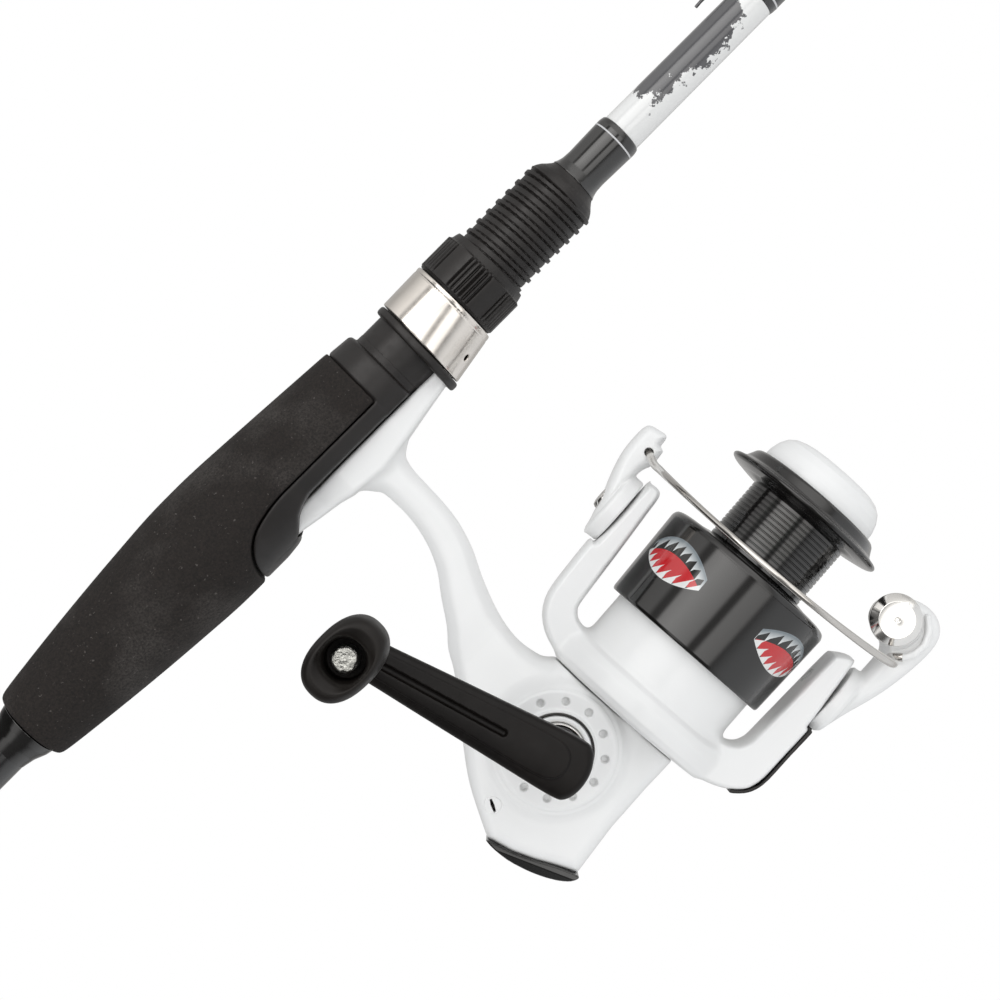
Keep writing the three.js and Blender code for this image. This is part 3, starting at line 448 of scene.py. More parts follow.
class Shader(Tree):
    """A material with helpers for object-space noise and bump."""

    def __init__(self, name, base, rough, metallic=0.0, coat=0.0, coat_rough=0.05, ior=1.5):
        self.mat = bpy.data.materials.new(name)
        super().__init__(self.mat)
        self.bsdf = self.nodes["Principled BSDF"]
        self.base, self.rough = base, rough
        self.set("Base Color", (*base, 1))
        self.set("Roughness", rough)
        self.set("Metallic", metallic)
        self.set("IOR", ior)
        self.set("Coat Weight", coat)
        self.set("Coat Roughness", coat_rough)
        self.coords = self.node("ShaderNodeTexCoord").outputs["Object"]
        self.normal = None

    def set(self, socket, value):
        """Fill an input of the surface by its name."""
        self.fill(self.bsdf.inputs[socket], value)

    def noise(self, per_mm, detail=3.0, stretch=(1, 1, 1), roughness=0.55):
        """Noise with about per_mm features to a millimetre, stretched along the frame's axes."""
        scale = [per_mm * 1000 * s for s in stretch]
        mapped = self.node("ShaderNodeMapping", {"Vector": self.coords, "Scale": scale})
        inputs = {"Vector": mapped.outputs[0], "Scale": 1.0, "Detail": detail, "Roughness": roughness}
        return self.node("ShaderNodeTexNoise", inputs).outputs["Fac"]

    def bump(self, height, depth_mm, strength=1.0):
        """Relief of a depth, on top of the relief so far."""
        inputs = {"Strength": strength, "Distance": depth_mm * MM, "Height": height}
        if self.normal is not None:
            inputs["Normal"] = self.normal
        self.normal = self.node("ShaderNodeBump", inputs).outputs["Normal"]
        self.set("Normal", self.normal)

    def vary(self, tint=0.05, rough=0.05, per_mm=0.06):
        """Slow changes of shade and of gloss over the surface."""
        slow = self.noise(per_mm)
        darker = tuple(c * (1 - tint) for c in self.base)
        lighter = tuple(min(1.0, c * (1 + tint)) for c in self.base)
        self.set("Base Color", self.mix(self.span(slow, 0.3, 0.7), darker, lighter))
        worn = self.noise(per_mm * 5, detail=5.0)
        self.set("Roughness", self.span(worn, 0.3, 0.7, max(0.02, self.rough - rough), self.rough + rough))
        return self

    def grain(self, per_mm, depth_mm, detail=2.0, strength=1.0, stretch=(1, 1, 1)):
        """Fine noise as relief."""
        self.bump(self.noise(per_mm, detail, stretch), depth_mm, strength)
        return self


def plastic_white():
    """Moulded white plastic with a thin gloss."""
    s = Shader("gloss_white", (0.81, 0.81, 0.804), 0.38, coat=0.35, coat_rough=0.14)
    s.set("Specular IOR Level", 0.35)
    return s.vary(0.010, 0.04, 0.05).grain(0.12, 0.006, strength=0.3).mat


def gloss_black():
    """Deep gloss black paint."""
    s = Shader("gloss_black", (0.0045, 0.0042, 0.004), 0.16, coat=0.8, coat_rough=0.03)
    return s.vary(0.3, 0.04, 0.08).grain(0.3, 0.004, strength=0.4).mat


def satin_black(name, shade=(0.0105, 0.0092, 0.0086), rough=0.42, grain=3.0, depth=0.03, shine=0.4):
    """Black plastic or paint with a fine grain and a satin gloss."""
    s = Shader(name, shade, rough)
    s.set("Specular IOR Level", shine)
    return s.vary(0.25, 0.07, 0.1).grain(grain, depth, strength=0.55).mat


def polished_steel(name="polished_steel", colour=(0.84, 0.83, 0.81), rough=0.11):
    """Polished or drawn steel."""
    s = Shader(name, colour, rough, metallic=1.0)
    return s.vary(0.03, 0.02, 0.2).grain(0.3, 0.002, strength=0.3).mat


def hood_chrome():
    """Rolled and polished sheet with faint lines along it."""
    s = Shader("polished_hood", (0.76, 0.72, 0.675), 0.19, metallic=1.0)
    s.vary(0.05, 0.03, 0.12)
    return s.grain(1.2, 0.0015, strength=0.3, stretch=(0.05, 1.2, 1.2)).mat


def turned_metal(name, colour, rough=0.3):
    """Machined metal."""
    s = Shader(name, colour, rough, metallic=1.0)
    return s.vary(0.08, 0.08, 0.3).grain(3.0, 0.01, strength=0.5).mat


def cast_metal():
    """Dull cast zinc."""
    s = Shader("cast_zinc", (0.48, 0.49, 0.50), 0.45, metallic=1.0)
    return s.vary(0.12, 0.1, 0.25).grain(2.0, 0.05).mat


def felt():
    """Pressed grey felt."""
    s = Shader("felt", (0.16, 0.15, 0.13), 0.95)
    return s.vary(0.3, 0.04, 0.8).grain(6.0, 0.15, detail=5.0).mat


def rubber():
    """Soft black rubber."""
    s = Shader("soft_rubber", (0.0085, 0.0068, 0.0058), 0.46)
    s.set("Specular IOR Level", 0.25)
    return s.vary(0.2, 0.06, 0.1).grain(2.5, 0.02, strength=0.5).mat


def ceramic():
    """Glossy dark grey ceramic."""
    s = Shader("ceramic", (0.03, 0.031, 0.033), 0.15, coat=0.6)
    return s.vary(0.15, 0.04, 0.3).grain(1.0, 0.003, strength=0.3).mat


def dark_steel():
    """Blackened steel wire."""
    s = Shader("dark_steel", (0.12, 0.12, 0.125), 0.28, metallic=1.0)
    return s.vary(0.15, 0.06, 0.4).grain(2.0, 0.006, strength=0.4).mat


def eva_foam():
    """Closed-cell foam, sanded: fine cells, light specks and a few rubbed patches."""
    s = Shader("eva_foam", (0.017, 0.0142, 0.0132), 0.82)
    s.set("Specular IOR Level", 0.35)
    fine = s.noise(1.7, detail=6.0, roughness=0.75)
    specks = s.span(s.noise(1.1, detail=2.0), 0.68, 0.74, 0.0, 0.8)
    rubbed = s.mul(s.span(s.noise(0.045, detail=3.0), 0.50, 0.72, 0.0, 0.75),
                   s.span(fine, 0.42, 0.6, 0.25, 1.0))
    shade = s.mix(s.span(fine, 0.36, 0.64), (0.0042, 0.0034, 0.0030), (0.0225, 0.0180, 0.0158))
    shade = s.mix(specks, shade, (0.085, 0.076, 0.071))
    shade = s.mix(rubbed, shade, (0.062, 0.056, 0.052))
    s.set("Base Color", shade)
    s.set("Roughness", s.span(fine, 0.3, 0.7, 0.74, 0.92))
    return s.grain(1.5, 0.16, detail=4.0, strength=0.8).grain(0.16, 0.25, detail=2.0, strength=0.35).mat


LABEL = (403.6, 451.2)          # length of the rod that carries the splash pattern


def rod_graphite():
    """Clear-coated black graphite with a white and grey splash pattern in front of the seat."""
    s = Shader("clear_coated_graphite", (0.0055, 0.0055, 0.006), 0.22, coat=0.8, coat_rough=0.025)
    where = s.node("ShaderNodeSeparateXYZ", {"Vector": s.coords})
    along = s.mul(where.outputs["X"], 1000.0)
    black = s.mix(s.span(s.noise(0.9, 3.0, (0.15, 1, 1)), 0.35, 0.7), (0.0045, 0.0045, 0.005),
                  (0.0085, 0.0085, 0.009))
    height = s.mul(where.outputs["Z"], 1000.0)
    splash = s.sub(s.noise(0.42, detail=6.0, roughness=0.68), 0.5)
    hump = s.math("DIVIDE", s.sub(along, 434.0), 10.0)
    hump = s.math("MAXIMUM", s.sub(1.0, s.mul(hump, hump)), 0.0)
    shore = s.sub(s.mul(s.math("MAXIMUM", s.sub(along, 445.5), 0.0), 1.5), 1.0)
    shore = s.sub(shore, s.mul(hump, 2.4))
    ends = s.mul(s.sub(413.5, along), 0.75)
    depth = s.math("MAXIMUM", ends, s.sub(shore, height))
    white = s.span(s.add(depth, s.mul(splash, 14.0)), -0.08, 0.08)
    tone = s.mix(s.noise(0.3, 4.0), (0.058, 0.058, 0.062), (0.078, 0.078, 0.083))
    label = s.mix(white, tone, (0.72, 0.72, 0.71))
    inside = s.mul(s.math("GREATER_THAN", along, LABEL[0]), s.math("LESS_THAN", along, LABEL[1]))
    s.set("Base Color", s.mix(inside, black, label))
    return s.grain(0.5, 0.006, strength=0.4, stretch=(0.3, 1, 1)).mat


def spool_paint():
    """Gloss black with two decals round the skirt: a red lens between rows of white and grey teeth."""
    s = Shader("spool_paint", (0.0045, 0.0042, 0.004), 0.14, coat=0.55, coat_rough=0.03)
    local = s.node("ShaderNodeAttribute", attribute_name="local")
    part = s.node("ShaderNodeSeparateXYZ", {"Vector": local.outputs["Vector"]})
    x, y, z = (part.outputs[i] for i in range(3))
    round_mm = s.mul(s.math("ARCTAN2", z, s.mul(y, -1.0)), 23.8)
    away = s.math("ABSOLUTE", s.sub(s.math("ABSOLUTE", round_mm), 20.0))
    group = s.math("LESS_THAN", away, 11.0)
    slant = s.add(round_mm, s.mul(x, 0.55))
    wave = s.math("FRACT", s.math("DIVIDE", slant, 2.9))
    saw = s.mul(s.math("ABSOLUTE", s.sub(wave, 0.62)), 5.2)
    bow = s.mul(s.mul(away, away), 0.03)

    def band(low, high):
        above = s.math("GREATER_THAN", x, low)
        below = s.math("LESS_THAN", x, high)
        return s.mul(s.mul(above, below), group)

    lower, upper = s.add(bow, 48.4), s.sub(54.6, s.mul(bow, 0.8))
    crest = s.sub(58.8, s.mul(bow, 1.1))
    red = band(lower, upper)
    white = band(s.sub(lower, 0.5), s.add(lower, s.sub(saw, 0.5)))
    grey = band(s.sub(crest, s.add(s.mul(saw, 0.9), 0.9)), crest)
    shade = s.mix(s.noise(0.2), (0.0035, 0.0032, 0.003), (0.0055, 0.005, 0.0048))
    shade = s.mix(red, shade, (0.50, 0.012, 0.018))
    shade = s.mix(white, shade, (0.72, 0.72, 0.71))
    shade = s.mix(grey, shade, s.mix(s.span(s.sub(crest, x), 0.4, 3.2), (0.17, 0.20, 0.22),
                                     (0.72, 0.74, 0.74)))
    s.set("Base Color", shade)
    return s.grain(0.3, 0.004, strength=0.4).mat


def thread_wrap(name, colour):
    """Fine thread wound round the blank under epoxy."""
    s = Shader(name, colour, 0.3, coat=1.0, coat_rough=0.03)
    s.vary(0.2, 0.05, 0.2)
    return s.grain(4.0, 0.03, strength=0.5, stretch=(1, 0.05, 0.05)).mat


def rivet_face():
    """Hammered end of a soft steel rivet."""
    s = Shader("rivet_face", (0.44, 0.44, 0.415), 0.32, metallic=1.0)
    return s.vary(0.25, 0.1, 1.0).grain(0.9, 0.5, detail=3.0).mat


WHITE = plastic_white()
BLACK = gloss_black()
STEEL = polished_steel()
WIRE = polished_steel("drawn_wire", (0.60, 0.58, 0.555), 0.17)
SEAT = satin_black("seat_plastic", (0.0112, 0.0094, 0.0088), 0.40)
NYLON = satin_black("black_nylon", (0.0125, 0.0108, 0.0100), 0.40)
CRANK = satin_black("crank_paint", (0.0054, 0.0043, 0.0038), 0.38, grain=2.2, depth=0.03, shine=0.2)
GRAPHITE = rod_graphite()
BRASS = turned_metal("machined_brass", (0.70, 0.52, 0.25))
FOAM = eva_foam()
RUBBER = rubber()
CERAMIC = ceramic()
DARK_STEEL = dark_steel()
SPOOL = spool_paint()

SEAT_BORE = 6.2                 # radius of the hole through the seat and the grip
PIVOT_HOLE = 2.0                # radius of the holes for the bail's screws


# ---------------------------------------------------------------- rod


def rod_lathe(name, profile, material, body, nodes=(), count=96, **shape):
    """A turned piece round the rod's axis."""
    return piece(name, lathe(profile, count=count, **shape), material, body, ROD, nodes)


def build_blanks():
    """The two halves of the rod's tube with their windings and bands; gives back the black thread."""
    rod_lathe(
        "blank_lower",
        [(10.3, 4.9), (10.3, 5.9), (330, 5.9), (390, 5.5), (455, 5.3), (700, 4.3), (832, 3.75),
         (832, 3.35), (884, 3.25), (884, 2.35), (455, 4.2), (330, 4.9)],
        GRAPHITE, "rod_handle", nodes=("lower_blank",), round_by=0.2, closed=True,
    )
    rod_lathe(
        "blank_upper",
        [(832.3, 3.65), (832.3, 4.3), (833.4, 4.42), (889, 4.05), (1130, 3.05), (1310, 2.4),
         (1475, 1.75), (1660, 1.05), (1660, 0), (1330, 0), (1310, 1.2), (886, 2.9), (885, 3.65)],
        GRAPHITE, "tip_section", nodes=("upper_blank",), round_by=0.2, count=64,
    )
    black = thread_wrap("black_thread", (0.008, 0.008, 0.009))
    silver = thread_wrap("silver_thread", (0.55, 0.55, 0.56))
    rod_lathe(
        "winding_front",
        [(386.8, 4.6), (386.8, 6.95), (387.7, 6.4), (389.2, 6.0), (391.5, 5.85), (397, 6.0),
         (402.4, 6.15), (403.6, 5.9), (404.0, 5.5), (404.0, 4.6)],
        BLACK, "rod_handle", round_by=0.5, closed=True,
    )
    for i, (x, r, wide) in enumerate(((401.0, 6.11, 0.45), (453.4, 5.62, 0.5), (462.0, 5.60, 0.4))):
        low, high = x - wide / 2, x + wide / 2
        profile = [(low, r - 0.4), (low, r + 0.05), (high, r + 0.05), (high, r - 0.4)]
        rod_lathe(f"trim_band_{i + 1}", profile, silver, "rod_handle", round_by=0.1, closed=True)
    rod_lathe(
        "keeper_wrap",
        [(451.0, 4.4), (451.0, 5.35), (452.2, 5.6), (463.6, 5.62), (465.4, 5.3), (465.4, 4.4)],
        black, "rod_handle", round_by=0.5, closed=True,
    )
    low, high, r = 833.2, 846, 4.55
    rod_lathe(
        "ferrule_wrap",
        [(low, r - 0.8), (low, r - 0.2), (low + 1.2, r), (high - 1.5, r - 0.02), (high, r - 0.35),
         (high, r - 0.8)],
        black, "tip_section", round_by=0.4, closed=True,
    )
    return black


def build_grip():
    """Foam is carved from a swelling round bar: the lower front is scooped out round the seat."""
    profile = [(195.0, 9.1), (195.4, 10.1), (197.6, 10.75), (205, 11.7), (217.5, 13.1), (230, 14.3),
               (242.5, 15.3), (252, 15.95), (260, 16.1), (270, 15.9), (290, 14.7), (306, 13.65),
               (312.4, 13.2), (313.0, 12.8)]
    outer = [(194.9, 0), (194.9, 8.6)] + spline(profile, 5) + [(313.0, 0)]
    f = Field((192.5, -17.6, -17.6), (315.5, 17.6, 17.6), 0.42)
    body = f.turned(outer)
    scoop = spline([(261.6, -19.0), (261.8, -16.5), (262.4, -14.2), (263.9, -11.2), (266.4, -8.4),
                    (270.0, -6.3), (274.5, -5.1), (279.0, -4.5), (284.0, -4.38)], 6) + [(318.0, -4.38),
                        (318.0, -19.0)]
    side = polygon(scoop, f.x, f.z)
    shape = cut(body, side, 0.7)
    shape = cut(shape, f.bar("x", 0, 0, SEAT_BORE))
    shape = cut(shape, f.drum(258, 320, 8.1), 0.0)
    foam = carved("grip_foam", f, shape, FOAM, "rod_handle", ("foam_grip",), ROD)

    rear = [(10.3, 14.7), (11.0, 15.2), (14, 15.4), (26, 15.1), (38, 14.3), (50, 13.2), (62, 11.95),
            (74, 10.9), (84, 10.1), (86.6, 9.85), (87.8, 9.2)]
    butt = rod_lathe(
        "grip_butt_foam",
        [(10.3, 6.2)] + spline(rear, 5) + [(88.0, 8.6), (88.0, 6.2)],
        FOAM, "rod_handle", nodes=("butt_grip",), round_by=0, closed=True,
    )
    rod_lathe(
        "cap_butt",
        [(0, 0), (0, 9.5), (0.6, 9.8), (0.6, 11.2), (0, 11.5), (0, 13.2), (1.3, 14.7), (4.0, 15.1),
         (4.4, 14.9), (4.8, 15.15), (9.6, 15.3), (10.0, 15.0), (10.0, 4.6), (19, 4.6), (19, 0)],
        RUBBER, "rod_handle", nodes=("butt_cap",), round_by=0.35,
    )
    rod_lathe(
        "check_rear",
        [(186.0, 6.0), (187.0, 6.15), (189.5, 6.7), (192.4, 7.9), (194.4, 8.35), (194.6, 8.1),
         (194.6, 6.0)],
        BLACK, "rod_handle", nodes=("grip_check",), round_by=0.35, closed=True,
    )


def build_seat():
    """Rear hood, two steps and the barrel with its thread."""
    f = Field((257.0, -16.6, -17.0), (324.0, 16.6, 13.4), 0.36)
    tube_part = f.drum(258.4, 318, 7.8)
    back = [(262.6, -18.5), (262.7, -16.2), (263.2, -14.0), (264.6, -11.2), (267.0, -8.7),
            (270.4, -6.7), (274.7, -5.5), (279.2, -4.85), (284.0, -4.7)]
    outline = spline(back, 6) + [(313.4, -4.7), (313.4, -9.0), (285.6, -9.0), (282.4, -9.9),
                                 (280.0, -11.0), (277.5, -13.2), (275.2, -15.2), (273.9, -15.75),
                                 (272.0, -16.1), (264, -18.5)]
    round_part = f.turned([(258, 0), (258, 15.9), (270, 15.9), (281, 15.2), (313.3, 13.0), (325, 12.0),
                           (325, 0)])
    hood = both(f.plate(outline, -15.9, 15.9, 0.5), round_part, 0.8)
    nose = f.turned([(312.4, 0), (312.4, 11.9), (313.2, 12.4), (313.7, 12.7), (319.6, 12.15),
                     (320.3, 11.6), (320.6, 10.2), (324, 10.2), (324, 0)])
    nose = cut(nose, f.plate([(250, -30), (250, -9.0), (345, -9.0), (345, -30)], -30,
                          30, 0.2), 0.4)
    shape = join(tube_part, join(hood, nose, 0.5), 0.3)
    pocket = f.plate([(267.3, -9.0), (267.3, -14.2), (290, -14.2), (290, -9.0)], -5.5,
                  5.5, 0.4)
    shape = cut(shape, pocket, 0.4)
    shape = cut(shape, f.bar("x", 0, 0, SEAT_BORE))
    shape = np.maximum(shape, f.x - 322.6)
    carved("seat_rear", f, shape, SEAT, "rod_handle", ("reel_seat",), ROD)

    count = 120
    start, crest_from, end, pitch, tooth = 322.2, 355.5, 387.0, 3.42, 0.78
    places = np.concatenate([np.linspace(start, crest_from, 20)[:-1], np.arange(crest_from, 382.0, 0.13),
                             np.linspace(382.1, end, 26)])
    angle = np.linspace(0, 2 * np.pi, count, endpoint=False)
    rings = []
    for x in places:
        phase = np.mod((x - crest_from) / pitch - angle / (2 * np.pi), 1.0)
        off = 0.5 - np.abs(phase - 0.5)
        crest = 1 - np.clip((off - 0.13) / 0.07, 0, 1)
        crest = crest * crest * (3 - 2 * crest)
        valley = 0.22 * np.clip((off - 0.2) / 0.12, 0, 1)
        depth = np.clip((x - crest_from) / 2.5, 0, 1) * np.clip((382.6 - x) / 0.9, 0, 1)
        shoulder = np.interp(x, (381.0, 382.2, 383.2, 384.3, 385.3, 386.2, end),
                             (10.1, 9.85, 9.45, 8.75, 7.8, 7.05, 6.55))
        radius = np.minimum(np.full(count, 10.15 - tooth * depth), shoulder)
        rings.append(ring(x, radius + depth * (tooth * crest + valley * (1 - crest)), "x", (0, 0, 0),
                          count))
    inner = [ring(x, SEAT_BORE, "x", (0, 0, 0), count) for x in (end, start)]
    piece("seat_thread", grid(rings + inner, loop=True), SEAT, "rod_handle", ROD, sharp=40)


def bulge(f, top, bottom, power):
    """Distance to a round bar whose radius grows towards -Z."""
    rho = np.hypot(f.y, f.z)
    down = np.clip(-f.z / np.maximum(rho, 1e-6), 0, 1)
    return rho - (top + (bottom - top) * down**power)


def build_hood_and_nut():
    """Metal hood over the foot with a black rim, and the ribbed nut that pushes it."""
    f = Field((326.5, -14.5, -17.0), (347.5, 14.5, 14.0), 0.26)
    t = np.clip((f.x - 330.0) / 14.6, 0, 1)
    outer = bulge(f, 11.75 + 0.3 * t, 15.1 - 2.45 * t, 1.3)
    lean = (f.z + 11.7) * 0.028
    ends = np.maximum(330.9 + lean - f.x, f.x - 344.6)
    hood = both(outer, ends, 0.45)
    room = np.hypot(f.y, f.z) - 10.45
    foot = f.plate([(324, 2), (324, -14.0), (331, -13.7), (342.9, -11.4), (342.9, 2)], -4.9, 4.9, 0.8)
    hood = cut(cut(hood, room, 0.25), foot, 0.25)
    groove = np.abs(np.hypot(f.x - 343.2, np.maximum(outer, -0.25) * 1.4)) - 0.22
    hood = cut(hood, groove, 0.15)
    dimple = np.sqrt((f.x - 336.7) ** 2 + (f.y + 5.4) ** 2 + (f.z + 12.8) ** 2) - 0.95
    hood = cut(hood, dimple, 0.15)
    carved("hood_shell", f, hood, hood_chrome(), "hood", ("movable_hood",), ROD)

    outer = bulge(f, 11.7, 15.6, 1.3)
    ends = np.maximum(328.3 + lean - f.x, f.x - 330.7 - lean)
    rim = both(outer, ends, 0.9)
    rim = cut(cut(rim, room, 0.2), foot, 0.2)
    carved("hood_rim", f, rim, NYLON, "hood", ("hood_collar",), ROD)

    count = 480
    angle = np.linspace(0, 2 * np.pi, count, endpoint=False)
    rings = []
    low, high = 344.95, 357.5
    section = np.mod(angle / (2 * np.pi) * 6 + 0.3, 1.0)
    cuts = np.clip(1.35 - np.abs(np.mod(section / 0.62 * 6, 1.0) - 0.5) / 0.24, 0, 1)
    ribs = np.where(section < 0.62, 1 - cuts, 1.0)
    for x in np.concatenate([[low, low + 0.25, low + 0.6, low + 0.75], np.linspace(low + 1.0, 354.8, 14),
                             [355.1, 355.6, 356.6, high - 0.3, high]]):
        if x < low + 0.5:
            r = np.full(count, 11.9 - 0.25 * (low + 0.5 - x))
        elif x <= 355.2:
            ease = np.clip(min((x - low - 0.6) / 0.5, (355.2 - x) / 0.7), 0, 1)
            r = 12.15 - 0.75 * (1 - ribs) * ease
        else:
            r = np.full(count, 11.5 - 0.55 * ((x - 355.2) / (high - 355.2)) ** 1.4)
        rings.append(ring(x, r, "x", (0, 0, 0), count))
    rings += [ring(x, 10.42, "x", (0, 0, 0), count) for x in (high, low)]
    piece("nut_knurled", grid(rings, loop=True), NYLON, "lock_nut", ROD, ("lock_nut",), sharp=40)


GUIDES = ((700, 10.0, 21.0, 4.3), (930, 6.6, 14.5, 3.75), (1130, 4.8, 11.0, 3.05),
          (1310, 3.9, 9.0, 2.4), (1475, 3.5, 7.8, 1.75))


def build_guides(wrap):
    """Wire frames: a hoop and two legs forward to one foot, tied down with thread."""
    for i, (x, r, drop, blank) in enumerate(GUIDES):
        body = "rod_handle" if i == 0 else "tip_section"
        wall = 0.9 + r * 0.05
        half = 1.0 + r * 0.06
        section = [(-1, 0.8), (-0.6, 0), (0.6, 0), (1, 0.8), (0.4, 1.6), (-0.4, 1.6)]
        path = soften([(x + half * u, r - wall * v) for u, v in section], 0.8, closed=True)
        rings = [ring(a, b, "x", (0, 0, -drop), 64) for a, b in path]
        piece(f"guide_insert_{i + 1}", grid(rings, loop=True), CERAMIC, body, ROD,
              (f"guide_ring_{i + 1}",))
        bar = 0.35 + r * 0.02
        hoop_r = r + 0.3 + bar
        angle = np.linspace(0, 2 * np.pi, 48, endpoint=False)
        rings = []
        for a in angle:
            c = np.array((x, hoop_r * math.sin(a), -drop + hoop_r * math.cos(a)))
            out = np.array((0, math.sin(a), math.cos(a)))
            rings.append([c + bar * (math.cos(b) * out + math.sin(b) * np.array((1, 0, 0)) * 1.5)
                          for b in np.linspace(0, 2 * np.pi, 10, endpoint=False)])
        piece(f"guide_hoop_{i + 1}", grid(rings, loop=True), DARK_STEEL, body, ROD,
              (f"guide_frame_{i + 1}",))
        foot_z = -blank - 0.35
        length = 8 + r * 1.1
        for side in (-1, 1):
            a = 0.62 * side
            start = (x + 0.2, hoop_r * math.sin(a), -drop + hoop_r * math.cos(a))
            points = [start, (x + 1.2 + r * 0.1, start[1] * 0.8, start[2] + (foot_z - start[2]) * 0.4),
                      (x + 3.4 + r * 0.12, side * 0.5, foot_z - 0.45),
                      (x + 5.2 + r * 0.12, side * 0.42, foot_z - 0.1),
                      (x + 3 + length, side * 0.38, foot_z - 0.05)]
            piece(f"guide_leg_{i + 1}_{'left' if side < 0 else 'right'}",
                  tube(points, bar * 0.95, count=10, steps=6), DARK_STEEL, body, ROD)
        low, high = x + 4.6 + r * 0.12, x + 4.5 + length
        rod_lathe(
            f"guide_wrap_{i + 1}",
            [(low, blank - 0.7), (low, blank + 0.05), (low + 0.8, blank + 0.6),
             (high - 1.4, blank + 0.55), (high, blank + 0.02), (high, blank - 0.7)],
            wrap, body, round_by=0.5, closed=True, count=48,
        )
    x, r, drop = 1674.8, 2.6, 4.9
    section = [(-1.1, 0.5), (-0.6, 0), (0.6, 0), (1.1, 0.5), (0.4, 1.1), (-0.4, 1.1)]
    path = soften([(x + u, r - v) for u, v in section], 0.5, closed=True)
    piece("tip_insert", grid([ring(a, b, "x", (0, 0, -drop), 48) for a, b in path], loop=True), CERAMIC,
          "tip_section", ROD, ("tip_ring",))
    rod_lathe("tip_tube", [(1645, 1.35), (1645, 1.9), (1672.5, 1.75), (1673.5, 1.2), (1673.5, 0),
                           (1660.6, 0), (1660.6, 1.35)],
              DARK_STEEL, "tip_section", nodes=("tip_top",), count=32)
    path = soften([(x - 0.6, r + 0.3), (x - 0.6, r + 1.0), (x + 0.6, r + 1.0), (x + 0.6, r + 0.3)], 0.2,
                  closed=True)
    piece("tip_hoop", grid([ring(a, b, "x", (0, 0, -drop), 48) for a, b in path], loop=True), DARK_STEEL,
          "tip_section", ROD)
    for side in (-1, 1):
        points = [(x - 0.2, side * 2.6, -drop + 1.9), (x - 3.5, side * 1.9, -1.8),
                  (x - 7.5, side * 1.5, -0.6), (x - 13, side * 1.45, -0.2)]
        piece(f"tip_brace_{'left' if side < 0 else 'right'}", tube(points, 0.42, count=10), DARK_STEEL,
              "tip_section", ROD)
    hook = [(463.5, 0, 5.9), (457, 0, 5.95), (452, 0, 6.4), (447, 0, 8.3), (442.5, 0, 9.1), (439.4, 0, 9.0)]
    piece("keeper_hook", tube(hook, 0.42), DARK_STEEL, "rod_handle", ROD, ("hook_keeper",))


# ---------------------------------------------------------------- reel


# the side outline in four stretches: housing and front in the reel's frame, the stem in the rod's
HOUSING_EDGE = [(21.6, 19.0), (21.6, -15.6), (6.5, -15.0), (-6, -14.9), (-16, -15.6), (-20.3, -15.9),
                (-22.8, -10.2), (-25.2, -5.2), (-27.3, 0.4), (-28.5, 6.6)]
REAR_EDGE = [(-25.5, 11.9), (-21.3, 18.7), (-15.5, 25.8)]
STEM_REAR = [(278.25, -66.75), (282, -60.5), (285.75, -56.25), (290, -50), (293.75, -45), (296.25, -40),
             (297.75, -35), (298.5, -30), (298.5, -25), (298.1, -21.25), (296.2, -18.6), (294.5, -14.0)]
STEM_FRONT = [(312.5, -14.0), (310.75, -16.75), (308.6, -19.25), (307.75, -22.5), (307.5, -27.5),
              (307.25, -33.75), (306.4, -40), (304.3, -46.75), (300.9, -53.75), (298.2, -60.5),
              (296.6, -66.25), (296.1, -71.5), (296.8, -76.4)]
FRONT_EDGE = [(14.4, 24.9), (16.6, 22.2)]
# half thickness, and how deep the rounding of the edge goes, by height
WIDTHS = ((-120, 13.4), (-90, 13.3), (-82, 12.6), (-76, 10.9), (-70, 8.9), (-63.5, 7.2), (-56, 5.9),
          (-48.5, 5.1), (-41, 4.5), (-33, 4.2), (-25, 4.2), (-19.5, 4.8), (-15.5, 5.8), (-9, 6.0))
EDGE_DEPTHS = ((-120, 5.0), (-84, 5.0), (-74, 5.6), (-64, 5.4), (-48.5, 5.0), (-33, 4.6), (-9, 4.6))
ROOM = [(12.9, 20), (12.9, -12.6), (-18.6, -13.0), (-20.6, -8.6), (-24.6, 0.8), (-25.4, 6.2),
        (-23.2, 10.9), (-19.3, 17.0), (-15.0, 22.0), (-10.5, 25.6), (-5.0, 26.6), (4, 26.0), (9.6, 24.6)]
SCREWS = ((-19.6, -10.9), (10.6, -10.8), (-8.0, 28.4))      # of the side cover; the last stands in an ear
SCREW_HOLE = 1.4                # radius of the holes for them
EAR_RADIUS = 3.9                # of the ear on the last screw
FOOT_TOP = -9.25                # the foot's face on the seat, in the rod's own z
LID_FRONT = 16.05               # flat face of the housing behind the rotor
LEVER_SPOT = (-20.7, 11.5)      # x and z of the anti-reverse lever


def shell(f):
    """Field of the stem and housing, with each sample's world height; thinner up the stem."""
    edge = HOUSING_EDGE + spline(REAR_EDGE + to_reel(STEM_REAR), 3)
    edge += spline(to_reel(STEM_FRONT) + FRONT_EDGE, 3)
    flat = polygon(edge, f.x, f.z)
    level = REEL[1][2] + f.x * math.sin(TILT) + f.z * math.cos(TILT)
    wide = np.interp(level, *np.array(sorted(WIDTHS)).T)
    deep = np.interp(level, *np.array(sorted(EDGE_DEPTHS)).T)
    power = np.interp(level, (-84, -62), (3.2, 1.45))
    wide = np.where(f.y < 0, wide, wide * np.interp(level, (-84, -74), (1.165, 1.0)))
    shape = lens(flat, deep, f.y, wide, (power, power, power)) * np.minimum(deep, wide)
    flat_side = np.abs(f.y) - wide * np.interp(level, (-94, -66, -14, -9), (1.25, 0.80, 0.80, 1.2))
    return both(shape, flat_side, 0.7), level


def bezel_plan(f, radius):
    """Field of a round post where the anti-reverse lever is reached."""
    return f.bar("y", *LEVER_SPOT, radius)


